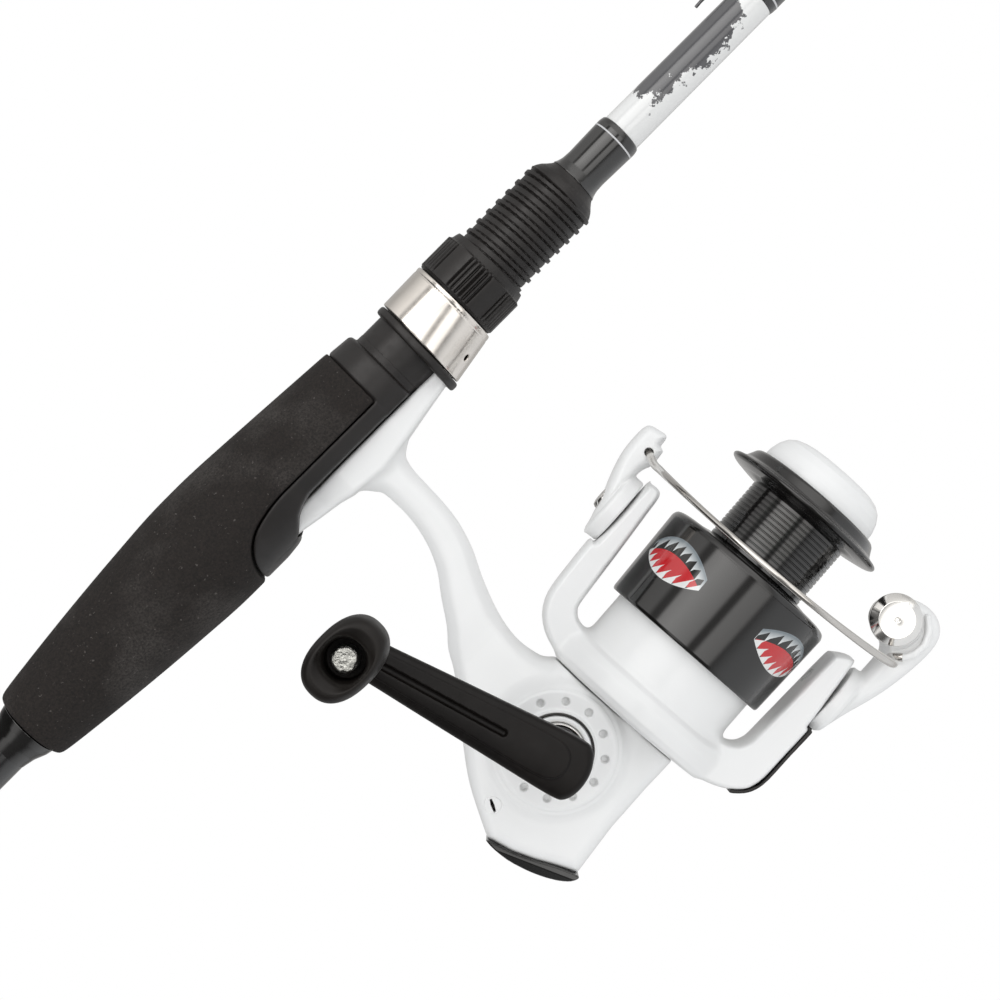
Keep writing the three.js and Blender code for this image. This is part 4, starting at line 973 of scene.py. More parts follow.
def build_housing():
    """One moulding: foot, stem and housing, with the cover on its far side."""
    f = Field((-31.5, -19.8, -18.5), (64.5, 20.6, 98.0), 0.56)
    shape, level = shell(f)
    plan = [(266.9, 4.2), (269, 5.2), (286, 5.2), (294, 7.2), (312, 7.2), (326, 4.7), (340, 4.4),
            (342, 3.2)]
    plan += [(x, -y) for x, y in reversed(plan)]
    side = [(267.4, FOOT_TOP), (341.2, FOOT_TOP), (341.8, -10.6), (334.5, -12.7), (328, -13.6), (320, -14.9),
            (312, -16.3), (303, -17.6), (292.5, -16.5), (288.7, -15.5), (282.5, -14.6), (277.5, -13.7),
            (268.0, -12.9), (267.2, -11)]
    world_x = REEL[1][0] + f.x * math.cos(TILT) - f.z * math.sin(TILT)
    foot = both(polygon(side, world_x, level), polygon(plan, world_x, f.y), 1.5)
    shape = join(shape, foot, 2.6)
    shape = np.maximum(shape, level - FOOT_TOP)

    boss = f.turned([(-17.2, 0), (-17.2, 14.0), (-16.7, 14.8), (-15.5, 15.3), (-4, 16.4), (-4, 0)], "y",
                    CRANK_CENTRE)
    seat = f.drum(-30, -15.7, 13.6, "y", CRANK_CENTRE)
    shape = cut(join(shape, boss, 3.4), seat)
    far_boss = f.turned([(8, 0), (8, 15.6), (17.4, 14.6), (18.9, 13.2), (19.4, 11.8), (19.4, 0)], "y",
                        CRANK_CENTRE)
    neck = f.turned([(10, 0), (10, 13.2), (27.3, 12.6), (27.3, 0)])

    room = f.plate(ROOM, -10.5, 40, 0.4)
    room = np.maximum(room, np.minimum(f.y - 7.5, f.z - 20.5))
    shaft = f.turned([(-30, 0), (-30, 4.7), (-18.3, 4.7), (-18.3, 7.9), (-9, 7.9), (-9, 0)], "y",
                     CRANK_CENTRE)
    gear = f.drum(3.4, 16, 14.0, "y", CRANK_CENTRE)
    clutch = f.turned([(0, 0), (0, 4.4), (17.4, 4.4), (17.4, 9.0), (30, 9.0), (30, 0)])
    posts = 9.0
    for x, z in SCREWS:
        posts = np.minimum(posts, np.maximum(f.bar("y", x, z, 2.5), -11 - f.y))
    hollow = np.maximum(room, -posts)
    shape = cut(shape, np.maximum(LID_FRONT - f.x, f.z - 30), 0.35)
    body = cut(join(shape, neck, 1.0), np.minimum(np.minimum(hollow, gear), np.minimum(shaft, clutch)))
    body = cut(body, np.maximum(bezel_plan(f, 1.7), f.y + 9.0))
    level_line = f.turned([(-30, 15.1), (-30, 15.7), (-16.2, 15.7), (-16.2, 15.1)], "y", CRANK_CENTRE)
    body = cut(body, level_line, 0.5)
    for x, z in SCREWS:
        body = cut(body, np.maximum(f.bar("y", x, z, SCREW_HOLE), 3 - f.y))
    top_x, top_z = SCREWS[2]
    body = join(body, np.maximum(f.bar("y", top_x, top_z, EAR_RADIUS), np.abs(f.y - 8.5) - 5), 1.2)
    body = cut(body, np.maximum(f.bar("y", top_x, top_z, SCREW_HOLE), 3 - f.y))
    near = np.maximum(body, f.y - 12.62)
    carved("housing", f, near, WHITE, "rod_handle", ("reel_body",))

    lid_room = f.turned([(5, 0), (5, 7.9), (18.4, 7.9), (18.4, 4.7), (30, 4.7), (30, 0)], "y",
                        CRANK_CENTRE)
    lean = 1.5 * np.clip((top_z - f.z) / 11.4, 0, 1)
    ear = np.hypot(f.x - top_x - lean, np.maximum(f.z - top_z, 0)) - EAR_RADIUS
    ear = np.maximum(np.maximum(ear, 15.0 - f.z), np.abs(f.y - 7.9) - 7.8)
    lid = join(join(shape, far_boss, 2.0), ear, 1.2)
    lid = np.maximum(cut(lid, lid_room), f.x - LID_FRONT)
    for x, z in SCREWS:
        lid = cut(lid, f.bar("y", x, z, SCREW_HOLE))
        lid = cut(lid, np.maximum(f.bar("y", x, z, 2.7), 15.7 - f.y), 0.2)
    stem_out = f.plate([(-40, 60), (-40, -30), (18, -30), (18, 24.5), (9.5, 33.5), (-3, 37.0),
                        (-12, 34.0)], -30, 30, 0.3)
    lid = np.maximum(np.maximum(lid, stem_out), 12.86 - f.y)
    carved("housing_lid", f, lid, WHITE, "rod_handle", ("side_cover",))


def build_boss_face():
    """Raised disc with a ring of dimples round the crank."""
    face = Field((-15.6, -19.8, CRANK_Z - 15.6), (15.6, -15.2, CRANK_Z + 15.6), 0.24)
    disc = face.turned([(-17.75, 0), (-17.75, 14.0), (-17.35, 14.55), (-16.8, 14.75), (-15.75, 14.0),
                        (-15.75, 0)], "y", CRANK_CENTRE)
    rim = face.turned([(-19.15, 0), (-19.15, 9.55), (-17, 9.9), (-17, 0)], "y", CRANK_CENTRE)
    disc = join(disc, rim, 0.5)
    for i in range(12):
        angle = 2 * math.pi * i / 12
        x, z = 11.9 * math.cos(angle), CRANK_Z + 11.9 * math.sin(angle)
        pit = np.maximum(np.hypot(face.x - x, face.z - z) - 1.1 + 0.2 * (face.y + 17.75), face.y + 16.1)
        disc = cut(disc, pit, 0.16)
    disc = cut(disc, np.hypot(face.x, face.z - CRANK_Z) - 4.9)
    carved("boss_face", face, disc, WHITE, "rod_handle")


def build_rear_trim():
    """Black trim that wraps the rear of the housing."""
    cap_edge = [(-20.1, -15.9), (-22.1, -9.9), (-24.4, -4.9), (-26.5, 0.7), (-28.1, 6.9), (-28.7, 5.4),
                (-28.8, 1.9), (-28.6, -0.8), (-28.0, -3.8), (-26.9, -7.6), (-25.3, -11.3),
                (-23.7, -13.9), (-22.0, -15.6)]
    c = Field((-32, -14.4, -17.6), (-19, 16.4, 8.2), 0.26)
    strip = c.plate(spline(cap_edge, 3, closed=True), -12.4, 14.4, 0.4)
    bulge_out = np.maximum(-0.940 * (c.x + 20.6) - 0.341 * (c.z + 16.05) - 0.9, 0)
    strip = np.maximum(strip, np.abs(c.y - 1.0) - 13.2 + 0.7 * bulge_out)
    carved("trim_rear", c, strip, BLACK, "rod_handle", ("rear_cap",))


def build_cover_screws():
    """The screws of the side cover."""
    for i, (x, z) in enumerate(SCREWS):
        head = [(4, 0), (4, 1.1), (15.8, 1.1), (15.8, 2.3), (16.6, 2.3), (17.1, 1.9), (17.25, 1.2),
                (16.6, 0.95), (16.6, 0)]
        piece(f"screw_cover_{i + 1}", lathe(head, "y", (x, 0, z), 40, 0.15), STEEL, "rod_handle", REEL,
              (f"cover_screw_{i + 1}",))


def build_lever():
    """The spot with the slot of the anti-reverse lever, and the lever."""
    v = Field((-24.2, -16.0, 6.8), (-17.4, -8.8, 16.2), 0.13)
    bezel = both(shell(v)[0] - 0.05, bezel_plan(v, 2.3), 0.3)
    bezel = np.maximum(bezel, v.y + 11.2)
    slit = v.plate([(-21.9, 10.0), (-21.3, 9.9), (-20.4, 11.2), (-19.7, 12.7), (-20.1, 13.0),
                    (-21.0, 11.9)], -20, -9.5, 0.2)
    carved("lever_bezel", v, cut(bezel, slit, 0.1), WHITE, "rod_handle")
    tab = v.plate([(-21.3, 10.2), (-20.1, 10.2), (-20.1, 11.6), (-21.3, 11.6)], -10.9,
               -9.3, 0.15)
    base = v.plate([(-21.2, 9.3), (-19.2, 9.3), (-19.2, 11.8), (-21.2, 11.8)], -10.2,
                -9.2, 0.2)
    carved("lever_stop", v, join(tab, base), NYLON, "anti_reverse_lever", ("anti_reverse_lever",))


def build_crank():
    """Arm with a raised panel and a centre groove, and its hub."""
    reach = math.hypot(CRANK_TIP[0], CRANK_TIP[1] - CRANK_Z)
    ux, uz = CRANK_TIP[0] / reach, (CRANK_TIP[1] - CRANK_Z) / reach
    arm_axes = np.array([[ux, 0, uz], [0, 1, 0], [-uz, 0, ux]]).T
    arm_frame = (REEL[0] @ arm_axes, REEL[0] @ np.array(CRANK_CENTRE) + REEL[1])

    f = Field((-9.0, -52.4, -8.6), (61.0, -22.4, 8.6), 0.3)
    along, across = f.x, f.z
    half = np.interp(along, (-8, 0, 12, 30, 48, 60), (7.1, 7.05, 6.6, 5.75, 4.75, 4.3))
    outline = [(-7.5, 0), (-7.2, 2.6), (-6.3, 5.0), (-4.9, 6.6), (-3.2, 7.1), (2, 7.1), (12, 6.6),
               (30, 5.7), (48, 4.75), (54, 4.6), (57.2, 3.7), (58.6, 1.9), (58.9, 0)]
    outline = [(u, v * 1.08) for u, v in outline] + [(u, -v) for u, v in outline[-2:0:-1]]
    flat = polygon(spline(outline, 5, closed=True), along, across)
    outer_y = np.interp(along, (-9, 4, 14, 46, 61), (-46.2, -46.6, -47.4, -50.6, -50.8))
    inner_y = np.interp(along, (-9, 6, 16, 46, 61), (-39.7, -39.9, -42.0, -46.2, -46.4))
    crown = 0.9 * (across / np.maximum(half, 1)) ** 2
    arm = meet(flat, np.maximum(outer_y + crown - f.y, f.y - inner_y), 1.9)
    inset = [(-2.0, 0), (-1.5, 2.3), (0.4, 4.1), (3.5, 4.75), (12, 4.6), (30, 3.85), (48, 3.0), (56, 2.7)]
    inset = spline(inset, 4)
    inset = inset + [(u, -v) for u, v in inset[:0:-1]]
    panel = polygon(inset, along, across)
    panel = np.maximum(panel, np.maximum(outer_y + crown - 0.42 - f.y, f.y - (outer_y + 2)))
    arm = join(arm, panel, 0.25)
    groove = f.rod((14.8, -47.5, 0), (46.0, -50.7, 0), 0.9)
    arm = cut(arm, groove, 0.2)
    hub = f.turned([(-41.5, 0), (-41.5, 6.8), (-36, 6.3), (-28.2, 5.75), (-23.6, 5.35), (-23.2, 4.9),
                    (-23.2, 0)], "y", (0, 0, 0))
    arm = join(arm, hub, 1.2)
    arm = cut(arm, f.drum(-39.7, -20, 3.1, "y"))
    arm = cut(arm, np.hypot(along - reach, across) - 1.9)
    carved("arm_crank", f, arm, CRANK, "crank", ("crank_arm",), arm_frame)


def build_collar():
    """Rings round the crank's shaft, one of them black as painted shade in the collar's recess, the shaft
    and its cap on the far side.
    """
    rings = {
        "collar_chrome": ([(-21.7, 6.45), (-22.0, 6.6), (-21.6, 6.95), (-19.5, 7.0), (-19.5, 6.45)], STEEL),
        # painted shade: a gloss black ring stands for the dark recess between the collar's steel ring and
        # the arm's hub
        "collar_painted_shade": ([(-21.5, 3.4), (-21.5, 6.0), (-21.2, 6.35), (-19.5, 6.4), (-19.5, 4.7),
                         (-20.3, 3.4)], BLACK),
        "collar_white": ([(-20.4, 7.1), (-20.7, 7.5), (-20.6, 8.3), (-19.4, 8.5), (-19.4, 7.1)], WHITE),
        "collar_black": ([(-20.0, 8.6), (-20.1, 8.8), (-20.0, 9.15), (-19.35, 9.25), (-19.35, 8.6)], NYLON),
    }
    for name, (profile, material) in rings.items():
        nodes = ("handle_collar",) if name == "collar_chrome" else ()
        skin = lathe(profile, "y", CRANK_CENTRE, 96, 0.3, closed=True)
        piece(name, skin, material, "crank", REEL, nodes)
    neck = [(-39.4, 0), (-39.4, 2.8), (-22.9, 2.8), (-22.8, 4.3), (-22.4, 4.6), (-22.0, 4.3),
            (-21.9, 2.8), (19.6, 2.8), (19.6, 0)]
    piece("shaft_crank", lathe(neck, "y", CRANK_CENTRE, 64, 0.3), STEEL, "crank", REEL, ("handle_shaft",))
    count = 120
    angle = np.linspace(0, 2 * np.pi, count, endpoint=False)
    teeth = np.clip(1.2 * np.cos(angle * 20), -0.5, 0.5) * 0.5
    rings = []
    for y, r, part in ((19.9, 3.0, 0), (19.9, 7.2, 0), (20.4, 7.7, 0.5), (21.0, 8.0, 1),
                       (23.0, 7.85, 1), (23.8, 7.3, 0.6), (24.5, 6.2, 0), (24.6, 5.0, 0),
                       (24.3, 4.4, 0), (24.2, 0.01, 0)):
        rings.append(ring(y, r + teeth * part * 0.5, "y", CRANK_CENTRE, count))
    piece("cap_far", grid(rings), NYLON, "crank", REEL, ("handle_cap",), sharp=50)


def build_knob():
    """Paddle knob with a dished end, and the rivet that it turns on."""
    knob_centre = (CRANK_TIP[0], 0, CRANK_TIP[1])
    outer = [(-51.2, 4.3, 4.2), (-52.2, 4.9, 4.7), (-55, 5.1, 4.8), (-59, 6.0, 5.3), (-64, 7.9, 6.1),
             (-69, 9.6, 6.8), (-73, 10.25, 7.0), (-78, 10.35, 7.05), (-81.5, 10.1, 6.9),
             (-83.6, 9.5, 6.5), (-84.6, 8.6, 5.95), (-84.85, 7.6, 5.45)]
    outer = spline(outer, 5)
    dish = [(-84.75, 7.2, 5.3), (-84.3, 6.5, 5.15), (-83.85, 5.8, 5.05), (-83.3, 5.15, 4.9),
            (-82.2, 4.8, 4.78), (-80.5, 4.72, 4.72), (-78, 4.7, 4.7), (-73.8, 4.65, 4.65),
            (-73.6, 4.3, 4.3), (-73.6, 1.95, 1.95), (-51.2, 1.95, 1.95)]
    angle = np.linspace(0, 2 * np.pi, 96, endpoint=False)

    def oval(y, a, b):
        power = 2.35
        c, s = np.cos(angle), np.sin(angle)
        scale = (np.abs(c) ** power + np.abs(s) ** power) ** (-1 / power)
        u, v = a * c * scale * 1.02, b * s * scale * 1.03
        if a == b:
            u, v = a * c, b * s
        tilt = -TILT
        return np.stack([u * math.cos(tilt) - v * math.sin(tilt), np.full(len(angle), y),
                         u * math.sin(tilt) + v * math.cos(tilt)], 1) + knob_centre

    piece("knob_paddle", grid([oval(*p) for p in outer + dish], loop=True), RUBBER, "knob", REEL,
          ("handle_knob",), sharp=60)
    rivet = [(-80.6, 0), (-80.6, 2.5), (-80.2, 3.0), (-79.4, 3.2), (-74, 3.2), (-74, 1.6), (-46.2, 1.6),
             (-46.2, 0)]
    piece("rivet_knob", lathe(rivet, "y", knob_centre, 64, 0.2), rivet_face(), "crank", REEL,
          ("knob_spindle",))


def build_rotor():
    """Cup with a rear flange that runs into two forward arms, one C-shaped frame."""
    f = Field((14.8, -25.4, -38.8), (66.0, 25.4, 37.6), 0.42)
    cup = f.turned([(16.3, 13.4), (16.3, 20.6), (17.0, 22.6), (18.6, 23.5), (22.4, 23.6), (24.4, 22.6),
                    (25.6, 21.2), (27.2, 20.9), (57.6, 20.9), (58.0, 20.5), (58.0, 19.4), (31.4, 19.2),
                    (31.4, 3.7), (27.9, 3.7), (27.9, 13.4)])
    upper = [(16.4, 15), (16.4, 19.8), (16.8, 22.5), (17.8, 25.8), (19.3, 29.2), (21.9, 32.3),
             (25.4, 34.4), (29.4, 35.3), (36, 35.7), (43.7, 35.95), (44.3, 35.2), (44.6, 34.5),
             (50, 34.35), (63.6, 34.1), (64.4, 33.4), (64.5, 31.2), (63.3, 29.7), (58, 29.2),
             (44, 28.1), (31, 27.2), (28.8, 26.5), (27.4, 25.2), (26.7, 23.2), (26.3, 20), (26.3, 15)]
    lower = [(16.4, -15), (16.4, -19.8), (16.9, -23.5), (18.1, -27.5), (19.9, -31.0), (22.2, -33.7),
             (24.6, -34.9), (28, -35.6), (36, -35.8), (43.7, -36.0), (44.4, -35.2), (50, -34.9),
             (63.4, -33.7), (64.4, -33.0), (64.5, -31.6), (62.8, -28.7), (61.0, -27.9), (50, -27.3),
             (36, -26.5), (32.4, -26.2), (30.0, -25.0), (28.8, -23.2), (28.2, -21.2), (27.8, -15)]
    half = np.interp(f.x, (15, 24, 36, 50, 65), (8.2, 8.2, 8.4, 8.9, 8.4))

    def arm(outline):
        flat = polygon(spline(outline, 2, closed=True), f.x, f.z)
        return lens(flat, 1.4, f.y, half, (2.3, 2.9, 2.6)) * 1.4

    arms = np.minimum(arm(upper), arm(lower))
    frame_part = np.maximum(join(cup, arms, 2.2), 16.3 - f.x)
    rho = np.hypot(f.y, f.z)
    clear = np.maximum(np.maximum(rho - 24.95, 35.5 - f.x), 21.3 - rho)
    frame_part = cut(frame_part, clear, 0.5)
    inside = np.maximum(rho - 19.2, 31.4 - f.x)
    neck = np.maximum(rho - 13.3, f.x - 27.9)
    frame_part = cut(cut(frame_part, inside), neck, 0.3)
    frame_part = cut(frame_part, f.bar("z", PIVOT_X, 0, PIVOT_HOLE))
    frame_part = cut(frame_part, rho - 3.65)
    carved("rotor_frame", f, frame_part, WHITE, "rotor", ("rotor",))


def build_rotor_parts():
    """Cover of the lower arm, the rotor's nut and the bail's screws."""
    c = Field((17.5, -9.0, -38.9), (46.5, 9.0, -29.4), 0.26)
    strip = [(19.4, -31.2), (21.6, -33.9), (24.2, -35.5), (28, -36.3), (36, -36.5), (43.6, -36.8),
             (44.0, -36.4), (43.6, -35.8), (28, -35.6), (24.5, -34.8), (22.0, -33.2), (20.2, -30.8)]
    flat = polygon(spline(strip, 3, closed=True), c.x, c.z)
    carved("cover_lower_arm", c, slab(flat, c.y, -7.4, 7.4, 0.2), NYLON, "rotor", ("lower_arm_cover",))

    hexagon = [(31.7, 3.8), (31.7, 6.6), (32.1, 7.1), (34.8, 7.1), (35.2, 6.6), (35.2, 3.8)]
    rings = [ring(x, r, "x", (0, 0, 0), 6) for x, r in hexagon]
    piece("nut_rotor", grid(rings, loop=True), BRASS, "rotor", REEL, ("rotor_nut",), sharp=20)
    for name, node, sign in (("upper", "upper_pivot_screw", 1), ("lower", "lower_pivot_screw", -1)):
        head = 39.5 if sign > 0 else 39.2
        tail = 30.6 if sign > 0 else 28.4
        profile = [(tail, 0), (tail, 1.7), (head, 1.7), (head, 3.0), (head + 0.5, 3.15),
                   (head + 1.3, 2.7), (head + 1.65, 1.6), (head + 1.0, 1.2), (head + 1.0, 0)]
        profile = [(sign * a, b) for a, b in profile]
        skin = lathe(profile, "z", PIVOT, 48, 0.15)
        piece(f"screw_{name}_arm", skin, STEEL, "rotor", REEL, (node,))


def build_upper_bail_arm():
    """Upper arm of the bail."""
    f = Field((43.2, -10.4, 33.6), (77.4, 10.4, 45.2), 0.26)
    disc = f.turned([(34.55, 0), (34.55, 8.9), (34.9, 9.3), (37.6, 9.4), (38.2, 9.2), (38.6, 8.4),
                     (39.0, 0)], "z", PIVOT)
    outline = [(44.7, 37.7), (45.2, 38.2), (48.3, 39.1), (51.0, 39.8), (53.6, 40.5), (58, 41.9),
               (62.3, 43.2), (66.4, 44.0), (71, 44.15), (74.2, 43.8), (75.4, 42.8), (75.9, 40.6),
               (76.1, 38.5), (75.2, 37.75), (73.2, 37.6), (72.7, 36.7), (72.0, 36.2), (68, 36.1),
               (66.2, 36.9), (63.6, 37.45), (56, 37.6), (50, 37.6)]
    flat = polygon(spline(outline, 3, closed=True), f.x, f.z)
    half = np.interp(f.x, (44, 50, 56, 63, 70, 77), (3.2, 6.4, 7.0, 6.3, 5.2, 4.4))
    upper = join(disc, lens(flat, 2.6, f.y, half, (2.4, 2.6, 2.4)) * 2.6, 0.5)
    upper = cut(upper, f.turned([(39.1, 0), (39.1, 3.55), (50, 3.9), (50, 0)], "z", PIVOT), 0.3)
    upper = cut(upper, f.bar("z", PIVOT_X, 0, PIVOT_HOLE))
    eye = np.maximum(np.hypot(f.x - 69.8, f.z - 39.0) - 1.15, f.y + 2.2)
    upper = cut(upper, eye, 0.12)
    carved("bail_arm_upper", f, upper, WHITE, "bail", ("bail_arm",))


def build_lower_bail_arm():
    """Lower arm with the roller's housing, the roller and its cap."""
    f = Field((43.8, -10.6, -48.2), (88.4, 10.6, -24.2), 0.3)
    disc = f.turned([(-34.9, 0), (-34.9, 8.9), (-35.3, 9.3), (-37.6, 9.4), (-38.6, 8.6), (-38.9, 0)], "z",
                    PIVOT)
    outline = [(46.4, -37.6), (47.0, -38.4), (48.9, -39.5), (52.5, -40.6), (57.3, -42.25),
               (63.4, -44.2), (69.6, -45.6), (75, -46.4), (79.0, -46.6), (82.2, -46.1), (84.6, -44.6),
               (86.2, -42.0), (86.6, -38.8), (85.9, -35.6), (84.2, -32.0), (81.6, -29.6), (78.6, -28.8),
               (75.8, -29.8), (74.2, -32.2), (73.0, -35.2), (71.2, -37.2), (68, -37.6), (60, -37.4),
               (52, -37.4)]
    flat = polygon(spline(outline, 3, closed=True), f.x, f.z)
    low = np.interp(f.x, (44, 52, 60, 70, 78, 88), (-4.0, -6.8, -7.0, -6.4, -6.2, -5.6))
    high = np.interp(f.x, (44, 52, 60, 70, 78, 88), (4.0, 6.8, 7.2, 7.6, 7.6, 6.8))
    mid, half = (low + high) / 2, (high - low) / 2
    lower = join(disc, lens(flat, 3.0, f.y - mid, half, (2.4, 3.0, 2.4)) * 3.0, 1.4)
    rib = [(72.4, -7.2, -41.3), (75.0, -7.3, -43.0), (78.4, -7.2, -43.5), (81.7, -6.8, -42.2),
           (84.2, -6.2, -39.8)]
    for start, end in zip(rib, rib[1:]):
        lower = join(lower, f.rod(start, end, 0.85), 0.5)
    at = (ROLLER[0], 0, ROLLER[1])
    bay = f.turned([(-30, 0), (-30, 8.0), (-6.0, 7.6), (-6.0, 5.4), (3.5, 5.4), (3.5, 0)], "y", at)
    window = np.maximum(np.maximum(np.abs(f.y + 1.4) - 4.6, f.x - ROLLER[0] - 5.4),
                        np.maximum(ROLLER[0] - 5.6 - f.x, ROLLER[1] + 1 - f.z))
    lower = cut(cut(lower, bay, 0.3), window, 0.6)
    lower = cut(lower, f.drum(0, 6.4, 1.4, "y", at))
    lower = cut(lower, f.turned([(-50, 0), (-50, 3.9), (-39.2, 3.55), (-39.2, 0)], "z", PIVOT),
                0.3)
    lower = cut(lower, f.bar("z", PIVOT_X, 0, PIVOT_HOLE))
    carved("bail_arm_roller", f, lower, WHITE, "bail", ("roller_arm",))

    roller = [(-6.0, 1.5), (-6.0, 4.5), (-5.6, 4.9), (-4.8, 4.9), (-3.4, 4.1), (-1.2, 3.7), (0.6, 4.1),
              (2.2, 4.9), (2.8, 4.9), (3.0, 4.6), (3.0, 1.5)]
    piece("roller_line", lathe(roller, "y", at, 64, 0.25, closed=True), STEEL, "line_roller", REEL,
          ("line_roller",))
    cap = [(-11.0, 0), (-11.0, 0.5), (-11.3, 0.75), (-11.3, 4.6), (-9.5, 6.5), (-9.0, 6.6), (-8.4, 6.5),
           (-6.5, 5.8), (-6.5, 1.2), (6.0, 1.2), (6.0, 0)]
    piece("cap_roller", lathe(cap, "y", at, 128, 0.12), STEEL, "bail", REEL, ("roller_cap",))


def build_wire():
    """The bail's wire, a bow from the upper arm round to the roller."""
    points = [(69.9, -1.6, 39.2), (69.2, -6.4, 38.0), (68.0, -11.6, 36.2)]
    turns = 18
    for i in range(1, turns + 1):
        angle = math.pi * (0.5 - i / turns)
        spread = max(math.cos(angle), 0.0) ** 0.86
        x = 67.6 + 0.8 * math.sin(angle) ** 2 - 4.0 * spread + 2.2 * (i / turns)
        points.append((x, -5.2 - 52 * spread - 1.6 * (i / turns), -1.9 + 37.2 * math.sin(angle)))
    points += [(72.6, -7.3, -41.4)]
    radii = [0.95, 1.0, 1.0, 0.95, 0.9, 0.84, 0.78] + [0.72] * 5
    radii += [0.74, 0.78, 0.84, 0.9, 0.96, 1.02, 1.08, 1.12, 1.12, 1.05]
    piece("wire_bail", tube(points, radii, count=20, steps=8), WIRE, "bail", REEL, ("bail_wire",))


def build_spool():
    """Skirt, ribbed arbor and lip, turned in one; the paint follows the spool's own axes."""
    skirt = [(38.7, 22.1), (38.6, 23.1), (39.3, 23.5), (50, 23.85), (62.6, 24.25), (63.8, 23.7),
             (64.3, 22.4), (64.6, 19), (64.7, 14.6)]
    arbor = []
    for i in range(13):
        x = 65.5 + i * 1.28
        arbor += [(x, 13.86), (x + 0.16, 14.08), (x + 0.96, 14.08), (x + 1.12, 13.86)]
    lip = [(82.4, 14.2), (82.9, 18.5), (83.5, 21.8), (83.9, 22.6), (84.5, 22.85), (85.0, 22.4),
           (85.3, 21.1), (85.9, 20.0), (87.0, 19.4), (88.2, 18.8), (88.8, 18.1), (88.8, 17.2),
           (88.2, 16.95), (87.2, 16.9), (87.2, 13.0), (77.0, 13.0), (77.0, 2.6), (54, 2.6), (54, 5.6),
           (74.6, 5.6), (74.6, 12.4), (62.2, 12.4), (62.2, 22.4)]
    profile = soften(skirt, 0.7)[:-1] + [np.array(p, float) for p in arbor] + soften(lip, 0.35)
    rings = [ring(a, r, "x", (0, 0, 0), 128) for a, r in profile]
    spool = piece("spool_body", grid(rings, loop=True), SPOOL, "spool", REEL, ("spool",), sharp=50)
    world = np.array([v.co for v in spool.data.vertices]) / MM
    local = (world - REEL[1]) @ REEL[0]
    layer = spool.data.attributes.new("local", "FLOAT_VECTOR", "POINT")
    layer.data.foreach_set("vector", local.astype(np.float32).ravel())


def build_drag_knob():
    """Domed knob with two pockets that leave a bar to turn it by."""
    f = Field((82.0, -17.4, -17.4), (99.6, 17.4, 17.4), 0.26)
    knob = f.turned([(82.8, 0), (82.8, 12.2), (87.6, 12.2), (87.6, 16.3), (88.2, 16.7), (91.0, 16.5),
                     (93.4, 15.8), (95.4, 14.6), (96.6, 13.0), (97.4, 10.6), (97.9, 8.0), (98.2, 4.0),
                     (98.2, 0)])
    pockets = np.maximum(np.maximum(np.hypot(f.y, f.z) - 10.6, 2.6 - np.abs(f.y)), 96.3 - f.x)
    knob = cut(knob, pockets, 0.6)
    knob = cut(knob, f.drum(80, 92.2, 2.3))
    carved("knob_drag", f, knob, WHITE, "drag_knob", ("drag_knob",))


def dress_inside():
    """Inner pieces keep their solids and get their own finishes."""
    inner = {
        cast_metal(): ("drive_gear", "oscillation_gear"),
        turned_metal("bearing_steel", (0.55, 0.55, 0.56), 0.25): (
            "gear_bearing_near", "gear_bearing_far", "pinion_bearing", "anti_reverse_clutch"),
        turned_metal("ground_shaft", (0.62, 0.62, 0.63), 0.2): ("main_shaft", "drag_washer_steel"),
        BRASS: ("pinion_gear", "oscillation_slider"),
        felt(): ("drag_washer_felt",),
    }
    for material, nodes in inner.items():
        for node in nodes:
            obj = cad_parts[node]
            if not obj.material_slots:
                obj.data.materials.append(material)
            for held in obj.material_slots:
                held.material = material


# ---------------------------------------------------------------- stage


VIEW_DISTANCE = 0.56        # metres from the rod's plane
VIEW_WIDTH = 0.25           # metres across the view in the rod's plane
VIEW_CENTRE = (0.3176, -0.0433)     # X and Z that the camera looks at
ROLL = 45.1                 # degrees that the rod rises to the right in the view
WORLD_LIGHT = 0.87          # strength of the even light on the pieces
BRIGHTEST = 3.2             # what a panel level of 1 on the ramps stands for
FLOOR_CENTRE = (0.84, -0.56)        # X and Z
FADE_REACH = 1.85           # metres from the floor's centre to where it is clear
# degrees of rise from the camera's side, and the brightness seen there in gloss
PANELS = ((-180, 0.5), (-100, 0.5), (-75, 0.36), (-50, 0.22), (-33, 0.2), (-28, 1.5), (-8, 1.9),
          (-4, 0.3), (3, 0.3), (7, 1.9), (38, 3.0), (52, 2.6), (56, 0.35), (64, 0.35), (70, 1.1),
          (95, 0.8), (120, 0.5), (180, 0.5))
# the same towards the butt, which is dark
PANELS_LEFT = ((-180, 0.4), (-120, 0.2), (-95, 0.3), (-75, 0.08), (0, 0.2), (20, 0.9), (40, 0.9),
               (55, 0.05), (115, 0.05), (180, 0.4))
# and towards the tip, which is light
PANELS_RIGHT = ((-180, 0.6), (-110, 0.7), (-95, 1.4), (-60, 1.5), (-40, 0.3), (-10, 1.4), (20, 1.6),
                (50, 1.5), (80, 0.7), (120, 0.5), (180, 0.6))
AIM = (0.33, 0.0, -0.06)        # what the lamps point at
# name, place, size, watts and tint
LIGHTS = (
    ("softbox_upper_left", (-0.15, -0.75, 0.55), (0.7, 0.7), 2.2, (1.0, 0.985, 0.965)),
    ("softbox_right", (1.0, -0.65, 0.25), (0.5, 0.9), 1.2, (1.0, 1.0, 1.0)),
    ("softbox_top", (0.45, 0.1, 0.85), (0.9, 0.5), 0.6, (1.0, 1.0, 1.0)),
    ("softbox_front", (0.5, -1.1, -0.4), (1.2, 1.2), 2.0, (1.0, 1.0, 1.0)),
)


